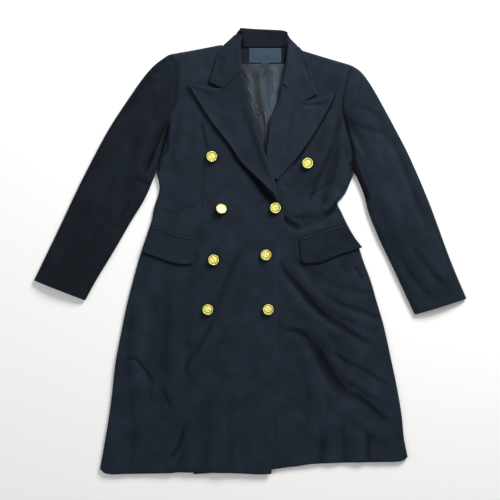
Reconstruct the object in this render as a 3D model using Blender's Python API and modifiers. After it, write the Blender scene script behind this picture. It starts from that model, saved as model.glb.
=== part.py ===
"""A knee-length double-breasted wool peacoat, lying flat on its back.

Sizes are in millimetres and become metres when a mesh is made. The coat lies in the XY
plane, collar towards +Y, its front facing +Z and its underside on z = 0. Sides are the
wearer's: the wearer's right front (at -X) closes on top of the left one.
"""
import math

import bmesh
import bpy
import numpy as np
from mathutils import Vector
from mathutils.bvhtree import BVHTree

MM = 0.001

# Cloth and seams
WOOL = 2.5              # wall of the lined wool: shell, canvas and lining together
LINING = 1.0
SEAM = 0.3              # gap between two pieces sewn edge to edge
LAY = 0.8               # air between a panel and what lies on it
FLOOR_MID = WOOL / 2    # height of the middle of a wall that lies on the floor

# Heights of the middle of each wall
BODY_REST = 7.5         # fronts, where only the back is beneath
UNDER_REST = 6.2        # left front, where the right front covers it
OVERLAP_REST = 9.6      # right front, where it covers the left one
SLEEVE_REST = 8.5
SLEEVE_DOME = 6.0

# Rolled edges: how far in from the outline a wall has turned level, and its turned-under strip
SIDE_ROLL = 4.0
SHOULDER_ROLL = 7.0
CUFF_ROLL = 5.5
LAPEL_ROLL = 3.8
LAPEL_TUCK = 7.2        # the front stops this far inside the roll line, within the lapel's turn
ROLL_END = {"right": 93, "left": 200}   # height where the roll line ends or is covered
ROLL_END_EASE = 14.0
NECK_ROLL = 5.0         # the collar's fold round the neck
STRIP = 6.0
ROLL_ANGLES = np.radians([180.0, 135.0, 90.0, 45.0])

# Where the fronts lie on each other, and how low a trough may go above the back
COVER_REACH = 34.0      # how far past the other front's edge a front still lies raised or sunk
COVER_EASE = 30.0
OVERLAP_TOP = 300.0     # the fronts overlap below this height
OVERLAP_TOP_EASE = 60.0
DEEPEST = -3.2

# Shares of the sleeve's length: over the first its rows straighten, over the second its inner
# edge leaves the armpit, and over the third its top leaves the height of the armhole seam
SLEEVE_CAP = 0.4
ARMPIT_EASE = 0.2
SEAM_EASE = 0.25

# The back panel, clear of the fronts' turned-under strips
BACK_CLEAR = 0.4
ARMPIT_CLEAR = 0.6
ARMPIT_SHARE = 0.9
BACK_NECK = 455.0
BACK_NECK_INSET = 8.0

# Lapels and collar: how high they stand by the roll, over what width that fades, and how
# wide a patch beneath each point carries it
LAPEL_LOFT = 3.2
LAPEL_LOFT_FADE = 22.0
LAPEL_REACH = 8.0
LAPEL_COVERED = 5.0     # the left lapel passes this far under the right one
COLLAR_LOFT = 3.0
COLLAR_LOFT_FADE = 18.0
COLLAR_REACH = 7.0
COLLAR_REST = 9.0
COLLAR_TURN = 5.0       # least height of the collar's turn
NECK_SINK = (0.5, 3.0)  # the collar sinks by this much round the neck
FALL_INSET = 3.0
STAND_INSET = (4.0, 1.0)

# Small parts
JET = 1.5
FLAP_REACH = 10.0
FACING = 1.2
RIBBON = 0.6
LINING_EASE = 25.0
SHANK_REACH = 3.0

# Grid counts
ARMHOLE_ROWS = 11
SIDE_ROWS = 21
FRONT_COLUMNS = 15
SLEEVE_ROWS = 15

# Button: turned shank button of 38 lines
BUTTON_RADIUS = 12.0
BUTTON_HEIGHT = 7.4

# Armhole seam, from the shoulder to the armpit, and where each cross-row of the front
# meets the front's edge
#                  seam_x  seam_y  edge_y
ARMHOLE = {
    "right": [(-184, 438, 452), (-168, 416, 430), (-164, 380, 395), (-168, 340, 348),
              (-183, 294, 290), (-197, 238, 236), (-212, 179, 186)],
    "left": [(229, 414, 446), (220, 394, 425), (210, 357, 388), (207, 322, 352),
             (216, 280, 300), (229, 226, 240), (233, 176, 188)],
}

# Side seam outline, from the armpit to the hem, and the same edge heights
#                  side_x  side_y  edge_y
SIDE = {
    "right": [(-212, 179, 186), (-205, 152, 158), (-205, 130, 130), (-216, 95, 96),
              (-222, 65, 66), (-232, 35, 34), (-250, -20, -24), (-274, -110, -112),
              (-289, -180, -184), (-303, -255, -260), (-311, -325, -330),
              (-320, -390, -400), (-337, -489, -500)],
    "left": [(233, 176, 188), (224, 152, 160), (212, 126, 134), (196, 108, 106),
             (205, 85, 75), (221, 52, 40), (240, 18, 5), (254, -24, -35),
             (270, -67, -80), (284, -115, -130), (300, -170, -190), (315, -238, -255),
             (329, -305, -325), (340, -370, -390), (345, -420, -440), (353, -462, -494)],
}

# Roll line of the lapel and, below it, the free front edge
#               edge_y  edge_x
FRONT_EDGE = {
    "right": [(452, -22), (415, -20.5), (390, -14.5), (366, -7), (343, -2), (303, 8),
              (271, 17), (233, 28), (204, 38), (177, 47), (150, 56), (125, 62), (107, 67),
              (84, 74), (46, 74), (0, 68.5), (-60, 63.5), (-250, 60), (-400, 55),
              (-500, 46)],
    "left": [(446, 82), (415, 77.5), (388, 72), (370, 68), (343, 65), (327, 60), (309, 51),
             (291, 43), (262, 40), (231, 36), (208, 31), (181, 13), (159, -10),
             (136, -32), (111, -59), (73, -68), (17, -77), (-30, -93), (-98, -109),
             (-195, -116), (-494, -127)],
}

# Sleeve rows below the armhole: where each crosses the outer and the inner outline
#                outer_x outer_y inner_x inner_y
SLEEVE = {
    "right": [(-184, 438, -212, 179), (-223, 407, -220, 157), (-268, 348, -239, 113),
              (-320, 267, -270, 62), (-374, 165, -308, -4), (-430, 48, -345, -65),
              (-485, -66, -370, -111)],
    "left": [(229, 414, 233, 176), (251, 397, 242, 160), (276, 361, 256, 125),
             (315, 292, 268, 80), (359, 206, 292, 21), (404, 100, 322, -42),
             (449, -21, 350, -103), (485, -107, 369, -143)],
}

# Lapel rows, from the gorge seam to the end of the roll: where each leaves the roll line,
# where it meets the lapel's edge, and how far its middle hangs below a straight row
#                roll_y edge_x edge_y hang_y
LAPEL = {
    "right": [(397, -29, 389, 0), (380, -43, 374, 0), (364, -56.5, 358.5, 0),
              (346, -100, 365, -12), (330, -138, 371, -10), (312, -126, 351, -5),
              (293, -105, 316, 0), (271, -86, 288, 0), (250, -68, 265, 0),
              (228, -46, 237, 0), (204, -21, 199, 0), (177, 6, 172, 0), (150, 33, 146, 0),
              (130, 52, 126, 0), (113, 58, 111, 0)],
    "left": [(367, 82, 361, 0), (355, 98, 346, 0), (343, 114, 330, 0),
             (333, 150, 339, -22), (321, 188, 351, -25), (308, 179, 327, -15),
             (291, 160, 294, -6), (272, 145, 268, -2), (250, 129, 243, 0),
             (229, 113, 220, 0), (204, 93, 195, 0), (181, 76, 176, 0), (161, 62, 160, 0)],
}
LAPEL_FREE_ROWS = {"right": 15, "left": 10}  # rows whose roll is not covered by the other front

# Collar wing rows, from the notch up to the shoulder: roll line, outer edge, and how far
# the middle of the row hangs towards the gorge
#               roll_x roll_y edge_x edge_y hang_x hang_y
WING = {
    "right": [(-19, 405, -92, 377, -3.5, -29), (-20.5, 418, -86, 397, -2, -15),
              (-20.5, 430, -79, 419, 0, -6), (-21, 443, -72, 440, 0, 0)],
    "left": [(70, 380, 148, 350, 7, -31), (74, 394, 143, 370, 3, -15),
             (77, 408, 136, 394, 0, -6), (79, 422, 131, 417, 0, 0),
             (81, 438, 124, 436, 0, 0)],
}
# Collar outline where the wing folds round the neck to the fall behind
#               fold_y fold_x roll_x
NECK_FOLD = {
    "right": [(459, -61, -21), (466, -54, -20), (474, -45, -19.5), (482, -37, -19)],
    "left": [(459, 108, 82.5), (466, 101, 83)],
}
# Fall behind the neck: outline at each height
#             y   left_x right_x
NECK_BACK = [(459, -61, 108), (466, -54, 101), (474, -45, 94), (482, -37, 88),
             (489, -31, 83), (496.4, -24, 79)]

# Largest folds: a path through three points, its half width, and its height (below zero
# for a trough)
#  front or sleeve   start_x start_y mid_x mid_y end_x end_y half_width height
FOLDS = {
    "right": [(-196, -60, -204, -220, -196, -385, 30, -2.4),
              (-240, -80, -252, -230, -240, -420, 28, 2.6),
              (-106, 285, -100, 180, -113, 40, 16, -1.3),
              (-130, 56, -113, 34, -100, 10, 20, -2.0),
              (-293, -251, -245, -270, -172, -372, 17, -2.2),
              (-95, -165, -136, -235, -154, -272, 16, -1.8),
              (-145, -404, -165, -440, -181, -480, 16, -1.8),
              (-30, 45, -78, -60, -110, -160, 30, 2.4),
              (-60, -300, -70, -400, -62, -495, 30, 1.8),
              (20, 290, 45, 200, 68, 104, 42, 3.4)],
    "left": [(82, 94, 130, 98, 186, 118, 24, 3.6),
             (80, 62, 118, 58, 170, 62, 22, -3.0),
             (193, 355, 203, 270, 150, 90, 20, -2.0),
             (70, -20, 134, -111, 246, -210, 22, -2.8),
             (134, -90, 210, -118, 285, -168, 18, -2.2),
             (70, -172, 168, -251, 322, -404, 24, -2.8),
             (168, -176, 213, -262, 332, -352, 26, 3.4),
             (92, -96, 132, -160, 190, -205, 24, 2.4),
             (212, -330, 216, -400, 218, -478, 20, 2.0),
             (262, -380, 266, -420, 268, -478, 18, 1.6)],
    "sleeve_right": [(-248, 294, -282, 114, -304, -30, 24, -2.8),
                     (-300, 250, -345, 110, -400, -40, 30, 2.0)],
    "sleeve_left": [(314, 249, 365, 120, 404, 35, 24, -3.2),
                    (371, 24, 398, -40, 427, -95, 18, -2.4),
                    (290, 170, 325, 60, 360, -60, 26, 2.0)],
}
# Swellings: shoulder pads and bust
#                 centre_x centre_y reach_x reach_y height
SWELLS = {
    "right": [(-178, 408, 62, 60, 10.5), (-85, 245, 90, 85, 2.6)],
    "left": [(222, 386, 62, 60, 10.5), (150, 225, 80, 85, 3.0)],
}
# Where the shoulder line stands above a straight row near the neck
NECK_RISE = {"right": 13.0, "left": 10.0}
NECK_RISE_AT = 0.70
COLLAR_MEETS_SHOULDER = {"right": -65, "left": 112}

# Pocket flaps: rows across the pocket mouth, from the side seam inwards
#                top_x top_y bottom_x bottom_y
FLAP = {
    "right": [(-224, 48, -243, -4), (-203, 43, -221, -10), (-181, 35, -195, -20),
              (-158, 27, -169, -28), (-138, 24.5, -144, -30.5), (-126, 24, -128, -22)],
    "left": [(214, 53, 250, 8), (202, 49, 229, 0), (179, 42, 202, -8),
             (157, 35, 177, -18), (134, 28, 152, -27), (110, 21, 116, -24)],
}
JET_WIDTH = 5.0

# Inside of the collar's stand, from the top edge down
#         y     middle_height
STAND = [(496.4, 6.0), (485, 5.8), (470, 5.2), (456.5, 4.4)]

# Buttons: place, tilt about X and Y in degrees, and how far the tilt lifts the shank
#            x    y   tilt_x tilt_y lift
BUTTONS = [(-86, 210, 0, 0, 0.0), (-66, 91, -22, 14, 1.2), (56, 95, 0, 0, 0.0),
           (-82, -21, 0, 0, 0.0), (35, -10, 0, 0, 0.0), (-95, -132, 0, 0, 0.0),
           (40, -132, 0, 0, 0.0)]
LEFT_BUTTON = (128, 195, 0, 0, 0.0)

# Lining that shows in the neck, and its crumples
#           y   left_x right_x
LINING_ROWS = [(419, -32, 92), (380, -24, 84), (340, -14, 76), (300, -2, 62),
               (260, 10, 54), (225, 20, 50), (198, 29, 47)]
#            start_x start_y mid_x mid_y end_x end_y half_width height
LINING_FOLDS = [(2, 400, 6, 330, 18, 270, 14, 2.0), (38, 400, 44, 340, 36, 280, 15, 2.2),
                (20, 318, 26, 300, 30, 240, 12, 1.6)]
NECK_FACING = (-32, 92, 419.5, 455.5)   # left, right, bottom and top
LABEL = (-2, 69, 422, 454.5)
SIZE_TAB = (24, 42, 412.5, 421.7)

COLOURS = {
    "navy wool": (0.0168, 0.0241, 0.0382),
    "navy wool upper collar": (0.0168, 0.0231, 0.0343),
    "slate lining": (0.0612, 0.0865, 0.1095),
    "slate label": (0.0395, 0.0802, 0.1221),
    "gilt brass": (0.7230, 0.6300, 0.1845),
}


# ---------------------------------------------------------------- curves and heights

def through(rows, count):
    """Points evenly spread along a smooth (Catmull-Rom) curve through the table's rows.

    The first two columns are the place along which the points are spread.
    """
    rows = np.asarray(rows, dtype=float)
    padded = np.vstack([2 * rows[0] - rows[1], rows, 2 * rows[-1] - rows[-2]])
    place = np.linspace(0, len(rows) - 1, 20 * len(rows))
    index = np.minimum(place.astype(int), len(rows) - 2)
    t = (place - index)[:, None]
    before, start, end, after = (padded[index + k] for k in range(4))
    curve = 0.5 * (2 * start + (end - before) * t
                   + (2 * before - 5 * start + 4 * end - after) * t ** 2
                   + (3 * start - before - 3 * end + after) * t ** 3)
    steps = np.linalg.norm(np.diff(curve[:, :2], axis=0), axis=1)
    length = np.concatenate([[0.0], np.cumsum(steps)])
    wanted = np.linspace(0, length[-1], count)
    return np.column_stack([np.interp(wanted, length, column) for column in curve.T])


def ease(value):
    """A smooth step from 0 to 1."""
    value = np.clip(value, 0.0, 1.0)
    return value * value * (3 - 2 * value)


def edge_x(side, y):
    """The front's edge, or its roll line, at a height up the coat."""
    table = np.array(FRONT_EDGE[side])[::-1]
    return np.interp(y, table[:, 0], table[:, 1])


def fold_height(folds, x, y):
    """Sum of soft ridges and troughs: each follows a bent path and fades at its ends."""
    total = np.zeros_like(x)
    for start_x, start_y, mid_x, mid_y, end_x, end_y, half_width, height in folds:
        t = np.linspace(0, 1, 25)[:, None]
        bend = 2 * np.array([mid_x, mid_y]) - 0.5 * np.array([start_x + end_x, start_y + end_y])
        path = ((1 - t) ** 2 * np.array([start_x, start_y]) + 2 * t * (1 - t) * bend
                + t ** 2 * np.array([end_x, end_y]))
        away = np.hypot(x[..., None] - path[:, 0], y[..., None] - path[:, 1])
        nearest = away.argmin(axis=-1)
        across = np.clip(away.min(axis=-1) / half_width, 0, 1)
        along = ease(np.minimum(t[nearest, 0], 1 - t[nearest, 0]) / 0.22 + 0.1)
        total += height * along * (1 - across ** 2) ** 2
    return total


def swell_height(swells, x, y):
    """Sum of round swellings that fade away from their centres."""
    total = np.zeros_like(x)
    for centre_x, centre_y, reach_x, reach_y, height in swells:
        total += height * np.exp(-((x - centre_x) / reach_x) ** 2 - ((y - centre_y) / reach_y) ** 2)
    return total


def front_height(side, x, y):
    """Height of the middle of a front's wall."""
    relief = swell_height(SWELLS[side], x, y) + fold_height(FOLDS[side], x, y)
    relief = np.maximum(relief, DEEPEST)
    hidden_edge = edge_x("left", y)
    if side == "left":
        covered = ease((edge_x("right", y) + COVER_REACH - x) / COVER_EASE)
        return covered * UNDER_REST + (1 - covered) * (BODY_REST + relief)
    covered = ease((x - hidden_edge + COVER_REACH) / COVER_EASE)
    covered = covered * ease((OVERLAP_TOP - y) / OVERLAP_TOP_EASE)
    relief = np.where(relief < 0, relief * (1 - covered), relief)
    return BODY_REST + covered * (OVERLAP_REST - BODY_REST) + relief


# ---------------------------------------------------------------- meshes

def material(name, roughness, metallic=0.0):
    """A named Principled material, made once."""
    if name in bpy.data.materials:
        return bpy.data.materials[name]
    finish = bpy.data.materials.new(name)
    finish.use_nodes = True
    shader = finish.node_tree.nodes["Principled BSDF"]
    shader.inputs["Base Color"].default_value = (*COLOURS[name], 1)
    shader.inputs["Roughness"].default_value = roughness
    shader.inputs["Metallic"].default_value = metallic
    return finish


def place(name, mesh, finish):
    """Puts a mesh in the coat's collection as a named piece."""
    piece = bpy.data.objects.new(name, mesh)
    piece.data.materials.append(finish)
    bpy.data.collections["peacoat"].objects.link(piece)
    return piece


def wall(name, patches, thickness, finish):
    """A closed cloth wall lofted through patches of sections.

    Each patch is (middle, facing, kept): grids of points and of unit vectors across the
    wall, and which of the grid's cells are cloth. Patches that share points are joined.
    """
    skins = bmesh.new()
    shared = {}

    def corner(middle, facing):
        key = tuple(np.round(middle, 3))
        if key not in shared:
            half = facing * thickness / 2
            shared[key] = [skins.verts.new((middle + half) * MM), skins.verts.new((middle - half) * MM)]
        return shared[key]

    borders = {}
    for middle, facing, kept in patches:
        for i, j in zip(*np.nonzero(kept)):
            ring = [corner(middle[a, b], facing[a, b])
                    for a, b in ((i, j), (i + 1, j), (i + 1, j + 1), (i, j + 1))]
            spans = [np.linalg.norm(middle[i, j] - middle[i + 1, j + 1]),
                     np.linalg.norm(middle[i + 1, j] - middle[i, j + 1])]
            first_split = [ring[:3], [ring[0], ring[2], ring[3]]]
            second_split = [ring[1:], [ring[0], ring[1], ring[3]]]
            for half_cell in first_split if spans[0] <= spans[1] else second_split:
                skins.faces.new([outer for outer, inner in half_cell])
                skins.faces.new([inner for outer, inner in reversed(half_cell)])
            for first, second in zip(ring, ring[1:] + ring[:1]):
                borders.setdefault(frozenset((first[0], second[0])), []).append((first, second))
    for sides in borders.values():
        if len(sides) == 1:
            first, second = sides[0]
            skins.faces.new([second[0], first[0], first[1], second[1]])
    bmesh.ops.recalc_face_normals(skins, faces=skins.faces)
    mesh = bpy.data.meshes.new(name)
    skins.to_mesh(mesh)
    skins.free()
    mesh.shade_smooth()
    mesh.set_sharp_from_angle(angle=math.radians(50))
    return place(name, mesh, finish)


def rolled(outline, inward, top, bottom, depth, strip=STRIP):
    """A wall's rolled edge, from its turned-under strip up to where it lies level.

    outline and inward are the edge's places and level directions, one row each. The middle
    of the wall runs round half an ellipse of the given depth from bottom to top.
    """
    depth = np.broadcast_to(depth, len(outline))
    bottom = np.broadcast_to(bottom, len(outline))
    centre = outline + inward * (depth + WOOL / 2)[:, None]
    half = (top - bottom) / 2
    columns = [(centre + inward * strip, bottom, 0.0, -1.0)] if strip else []
    for angle in ROLL_ANGLES:
        columns.append((centre - inward * (depth * math.sin(angle))[:, None],
                        (top + bottom) / 2 + half * math.cos(angle), math.sin(angle), math.cos(angle)))
    middle = np.stack([np.column_stack([flat, height]) for flat, height, out, up in columns], axis=1)
    facing = np.stack([np.column_stack([-inward * out, np.full(len(outline), up)])
                       for flat, height, out, up in columns], axis=1)
    return middle, facing


def level(grid):
    """Facing vectors of a wall that lies level."""
    return np.broadcast_to(np.array([0.0, 0.0, 1.0]), grid.shape)


def all_cells(grid):
    """Keeps every cell of a grid."""
    return np.ones((grid.shape[0] - 1, grid.shape[1] - 1), dtype=bool)


def directions(steps):
    """Unit vectors of a row of steps."""
    return steps / np.linalg.norm(steps, axis=1, keepdims=True)


def surface_tree(pieces):
    """A tree for finding the height of what lies beneath."""
    trees = []
    for piece in pieces:
        trees.append(BVHTree.FromPolygons([vertex.co for vertex in piece.data.vertices],
                                          [face.vertices for face in piece.data.polygons]))
    return trees


def top_height(trees, x, y, reach, otherwise):
    """Highest point of the pieces beneath a place, within reach of it."""
    found = []
    for around in range(9):
        angle = around * math.tau / 8
        spread = reach if around < 8 else 0.0
        start = Vector(((x + spread * math.cos(angle)) * MM, (y + spread * math.sin(angle)) * MM, 1.0))
        for tree in trees:
            hit = tree.ray_cast(start, Vector((0, 0, -1)))[0]
            if hit:
                found.append(hit.z / MM)
    return max(found, default=otherwise)


def laid_on(trees, flat, reach, otherwise, thickness=WOOL):
    """Heights of the middle of a wall whose places lie on the pieces beneath."""
    heights = [[top_height(trees, x, y, reach, otherwise) for x, y in row] for row in flat]
    return np.array(heights) + LAY + thickness / 2


def plate(name, outline, bottom, thickness, finish):
    """A flat piece: its outline filled and given thickness."""
    curve = bpy.data.curves.new(name, "CURVE")
    curve.dimensions = "2D"
    curve.fill_mode = "BOTH"
    curve.extrude = thickness / 2 * MM
    spline = curve.splines.new("POLY")
    spline.points.add(len(outline) - 1)
    for point, (x, y) in zip(spline.points, outline):
        point.co = (x * MM, y * MM, 0, 1)
    spline.use_cyclic_u = True
    piece = place(name, curve, finish)
    piece.location.z = (bottom + thickness / 2) * MM
    return piece


# ---------------------------------------------------------------- body and sleeves

def front_outline(side):
    """Cross-rows of a front: outer and inner end of each, shoulder first."""
    armhole = through(ARMHOLE[side], ARMHOLE_ROWS)
    side_seam = through(SIDE[side], SIDE_ROWS)
    rows = np.vstack([armhole, side_seam[1:]])
    outer = rows[:, :2].copy()
    seam_step = np.gradient(outer[:ARMHOLE_ROWS], axis=0)
    toward_body = np.column_stack([-seam_step[:, 1], seam_step[:, 0]])
    if side == "left":
        toward_body = -toward_body
    outer[:ARMHOLE_ROWS] += directions(toward_body) * SEAM / 2
    inner_x = edge_x(side, rows[:, 2])
    inset = LAPEL_TUCK * ease((rows[:, 2] - ROLL_END[side]) / ROLL_END_EASE)
    inner_x += inset if side == "left" else -inset
    return outer, np.column_stack([inner_x, rows[:, 2]])


def build_front(side, finish):
    """A front with its shoulder and side edges rolled under to the floor."""
    outer, inner = front_outline(side)
    across = np.linspace(0, 1, FRONT_COLUMNS)
    flat = outer[:, None] + (inner - outer)[:, None] * across[:, None]
    hump = np.minimum(across / NECK_RISE_AT, (1 - across) / (1 - NECK_RISE_AT))
    for row, share in enumerate((1.0, 0.5, 0.2)):
        flat[row, :, 1] += NECK_RISE[side] * share * hump
    armpit = ARMHOLE_ROWS - 1

    shoulder_in = directions(flat[1] - flat[0])
    side_in = directions(flat[:, 1] - flat[:, 0])
    shoulder_line = flat[0].copy()
    side_line = flat[:, 0].copy()
    flat[0] += shoulder_in * (SHOULDER_ROLL + WOOL / 2)
    flat[armpit:, 0] += side_in[armpit:] * (SIDE_ROLL + WOOL / 2)

    top = front_height(side, flat[..., 0], flat[..., 1])
    sheet = np.dstack([flat, top])
    shoulder, shoulder_facing = rolled(shoulder_line, shoulder_in, top[0], FLOOR_MID, SHOULDER_ROLL)
    seam, seam_facing = rolled(side_line[armpit:], side_in[armpit:], top[armpit:, 0], FLOOR_MID,
                               SIDE_ROLL)
    shoulder = np.concatenate([shoulder, sheet[0][:, None]], axis=1)
    shoulder_facing = np.concatenate([shoulder_facing, level(sheet[0][:, None])], axis=1)
    seam = np.concatenate([seam, sheet[armpit:, 0][:, None]], axis=1)
    seam_facing = np.concatenate([seam_facing, level(sheet[armpit:, 0][:, None])], axis=1)
    turned = all_cells(shoulder)
    limit = COLLAR_MEETS_SHOULDER[side]
    outside = shoulder_line[1:, 0] < limit if side == "right" else shoulder_line[1:, 0] > limit
    turned &= outside[:, None]
    wall("front_" + side, [(sheet, level(sheet), all_cells(sheet)),
                           (shoulder, shoulder_facing, turned),
                           (seam, seam_facing, all_cells(seam))], WOOL, finish)
    reached = np.count_nonzero(outside) + 1
    return {"armhole": flat[:ARMHOLE_ROWS, 0], "shoulder_strip": shoulder[:reached, 0, :2],
            "side_strip": seam[:, 0, :2]}


def build_sleeve(side, finish):
    """A sleeve's top, rolled under along both edges, and its flat under piece."""
    seam = through(ARMHOLE[side], ARMHOLE_ROWS)[:, :2]
    seam_step = np.gradient(seam, axis=0)
    toward_sleeve = np.column_stack([seam_step[:, 1], -seam_step[:, 0]])
    if side == "left":
        toward_sleeve = -toward_sleeve
    seam = seam + directions(toward_sleeve) * SEAM / 2
    rows = through(SLEEVE[side], SLEEVE_ROWS)
    across = np.linspace(0, 1, ARMHOLE_ROWS)
    chord = seam[0] + (seam[-1] - seam[0]) * across[:, None]
    down = np.linspace(0, 1, SLEEVE_ROWS)
    outer, inner = rows[:, :2].copy(), rows[:, 2:].copy()
    outer[0], inner[0] = seam[0], seam[-1]
    flat = outer[:, None] + (inner - outer)[:, None] * across[:, None]
    flat += (seam - chord) * (1 - ease(down / SLEEVE_CAP))[:, None, None]

    outer_in = directions(flat[:, 1] - flat[:, 0])
    inner_in = directions(flat[:, -2] - flat[:, -1])
    outer_line, inner_line = flat[:, 0].copy(), flat[:, -1].copy()
    outer_depth = SHOULDER_ROLL + (CUFF_ROLL - SHOULDER_ROLL) * down
    inner_depth = SIDE_ROLL + (CUFF_ROLL - SIDE_ROLL) * ease(down / ARMPIT_EASE)
    flat[:, 0] += outer_in * (outer_depth + WOOL / 2)[:, None]
    flat[:, -1] += inner_in * (inner_depth + WOOL / 2)[:, None]

    body = front_height(side, flat[..., 0], flat[..., 1])
    own = (SLEEVE_REST + SLEEVE_DOME * np.sin(np.pi * across) ** 0.8
           + swell_height(SWELLS[side], flat[..., 0], flat[..., 1])
           + fold_height(FOLDS["sleeve_" + side], flat[..., 0], flat[..., 1]))
    joined = ease(down / SEAM_EASE)[:, None]
    top = body[0] * (1 - joined) + own * joined
    sheet = np.dstack([flat, top])
    outer_roll, outer_facing = rolled(outer_line, outer_in, top[:, 0], FLOOR_MID, outer_depth)
    inner_roll, inner_facing = rolled(inner_line, inner_in, top[:, -1], FLOOR_MID, inner_depth)
    middle = np.concatenate([outer_roll, sheet, inner_roll[:, ::-1]], axis=1)
    facing = np.concatenate([outer_facing, level(sheet), inner_facing[:, ::-1]], axis=1)
    wall(f"sleeve_{side}_top", [(middle, facing, all_cells(middle))], WOOL, finish)

    outer_strip = outer_roll[:, 0, :2] + outer_in * SEAM
    inner_strip = inner_roll[:, 0, :2] + inner_in * SEAM
    outline = np.vstack([outer_strip, inner_strip[::-1], flat[0, -2:0:-1]])
    plate(f"sleeve_{side}_under", outline, 0.0, WOOL, finish)


def back_half(front, toward_middle):
    """The back's outline on one side, from the neck down to the hem."""
    shift = np.array([toward_middle * BACK_CLEAR, 0.0])
    shoulder = front["shoulder_strip"] - np.array([0.0, BACK_CLEAR])
    armhole, strip = front["armhole"], front["side_strip"]
    armpit_y = strip[0, 1] + ARMPIT_CLEAR
    last = armhole[-2] + (armhole[-1] - armhole[-2]) * ARMPIT_SHARE
    last[1] = max(last[1], armpit_y)
    step = np.array([strip[0, 0] + shift[0], armpit_y])
    return np.vstack([shoulder[::-1], armhole[1:-1], last, step, strip[1:] + shift])


def build_back(right, left, finish):
    """The back panel, flat on the floor inside the fronts' turned-under strips."""
    neck = [(COLLAR_MEETS_SHOULDER["right"] + BACK_NECK_INSET, BACK_NECK),
            (COLLAR_MEETS_SHOULDER["left"] - BACK_NECK_INSET, BACK_NECK)]
    outline = np.vstack([back_half(right, 1)[::-1], neck, back_half(left, -1)])
    plate("back", outline, 0.0, WOOL, finish)


# ---------------------------------------------------------------- lapels and collar

def build_lapel(side, beneath, finish):
    """A lapel: rolled up from the front's edge and laid back over the front."""
    rows = np.array(LAPEL[side], dtype=float)
    roll = np.column_stack([edge_x(side, rows[:, 0]), rows[:, 0]])
    edge = rows[:, 1:3]
    free = LAPEL_FREE_ROWS[side]
    inward = directions(edge - roll)
    if side == "left":
        roll[free:, 0] = edge_x("right", rows[free:, 0]) - LAPEL_COVERED
    across = np.linspace(0, 1, 8)
    start = roll + inward * (LAPEL_ROLL + WOOL / 2)
    flat = start[:, None] + (edge - start)[:, None] * across[:, None]
    flat[..., 1] += rows[:, 3:] * (1 - (2 * across - 1) ** 4)
    loft = LAPEL_LOFT * np.exp(-np.linalg.norm(flat - start[:, None], axis=-1) / LAPEL_LOFT_FADE)
    top = laid_on(beneath, flat, LAPEL_REACH, BODY_REST) + loft
    sheet = np.dstack([flat, top])
    bottom = front_height(side, start[:, 0], start[:, 1])
    turn, turn_facing = rolled(roll, inward, top[:, 0], bottom, LAPEL_ROLL, strip=0)
    middle = np.concatenate([turn, sheet], axis=1)
    facing = np.concatenate([turn_facing, level(sheet)], axis=1)
    kept = all_cells(middle)
    kept[free - 1:, :len(ROLL_ANGLES)] = side == "right"
    return wall("lapel_" + side, [(middle, facing, kept)], WOOL, finish)


def wing_patches(side, beneath):
    """One wing of the collar and its fold round the neck to the floor."""
    rows = np.array(WING[side], dtype=float)
    doubled = np.linspace(0, len(rows) - 1, 2 * len(rows) - 1)
    rows = np.column_stack([np.interp(doubled, np.arange(len(rows)), rows[:, k]) for k in range(6)])
    folds = np.array(NECK_FOLD[side], dtype=float)
    roll = np.vstack([rows[:, :2], folds[:, [2, 0]]])
    edge = np.vstack([rows[:, 2:4], folds[:, [1, 0]]])
    hang = np.vstack([rows[:, 4:], np.zeros((len(folds), 2))])
    across = np.linspace(0, 1, 9)
    inward = directions(edge - roll)
    outward = directions(roll - edge)
    first_fold = len(rows)
    start = roll + inward * (LAPEL_ROLL + WOOL / 2)
    end = edge.copy()
    end[first_fold:] += outward[first_fold:] * (NECK_ROLL + WOOL / 2)
    flat = start[:, None] + (end - start)[:, None] * across[:, None]
    flat += hang[:, None] * (1 - np.abs(2 * across - 1))[:, None]
    loft = COLLAR_LOFT * np.exp(-np.linalg.norm(flat - start[:, None], axis=-1) / COLLAR_LOFT_FADE)
    laid = laid_on(beneath, flat, COLLAR_REACH, COLLAR_REST)
    lowered = np.zeros(len(roll))
    lowered[first_fold:] = np.linspace(*NECK_SINK, len(folds))
    top = laid + loft - lowered[:, None]
    sheet = np.dstack([flat, top])
    bottom = np.minimum(front_height(side, start[:, 0], start[:, 1]), top[:, 0] - COLLAR_TURN)
    turn, turn_facing = rolled(roll, inward, top[:, 0], bottom, LAPEL_ROLL, strip=0)
    wing = np.concatenate([turn, sheet], axis=1)
    wing_facing = np.concatenate([turn_facing, level(sheet)], axis=1)
    around, around_facing = rolled(edge[first_fold:], outward[first_fold:], top[first_fold:, -1],
                                   FLOOR_MID, NECK_ROLL, strip=0)
    around = np.concatenate([around, sheet[first_fold:, -1][:, None]], axis=1)
    around_facing = np.concatenate([around_facing, level(around[:, -1:])], axis=1)
    return [(wing, wing_facing, all_cells(wing)),
            (around, around_facing, all_cells(around))], around[:, 0, :2]


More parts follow.
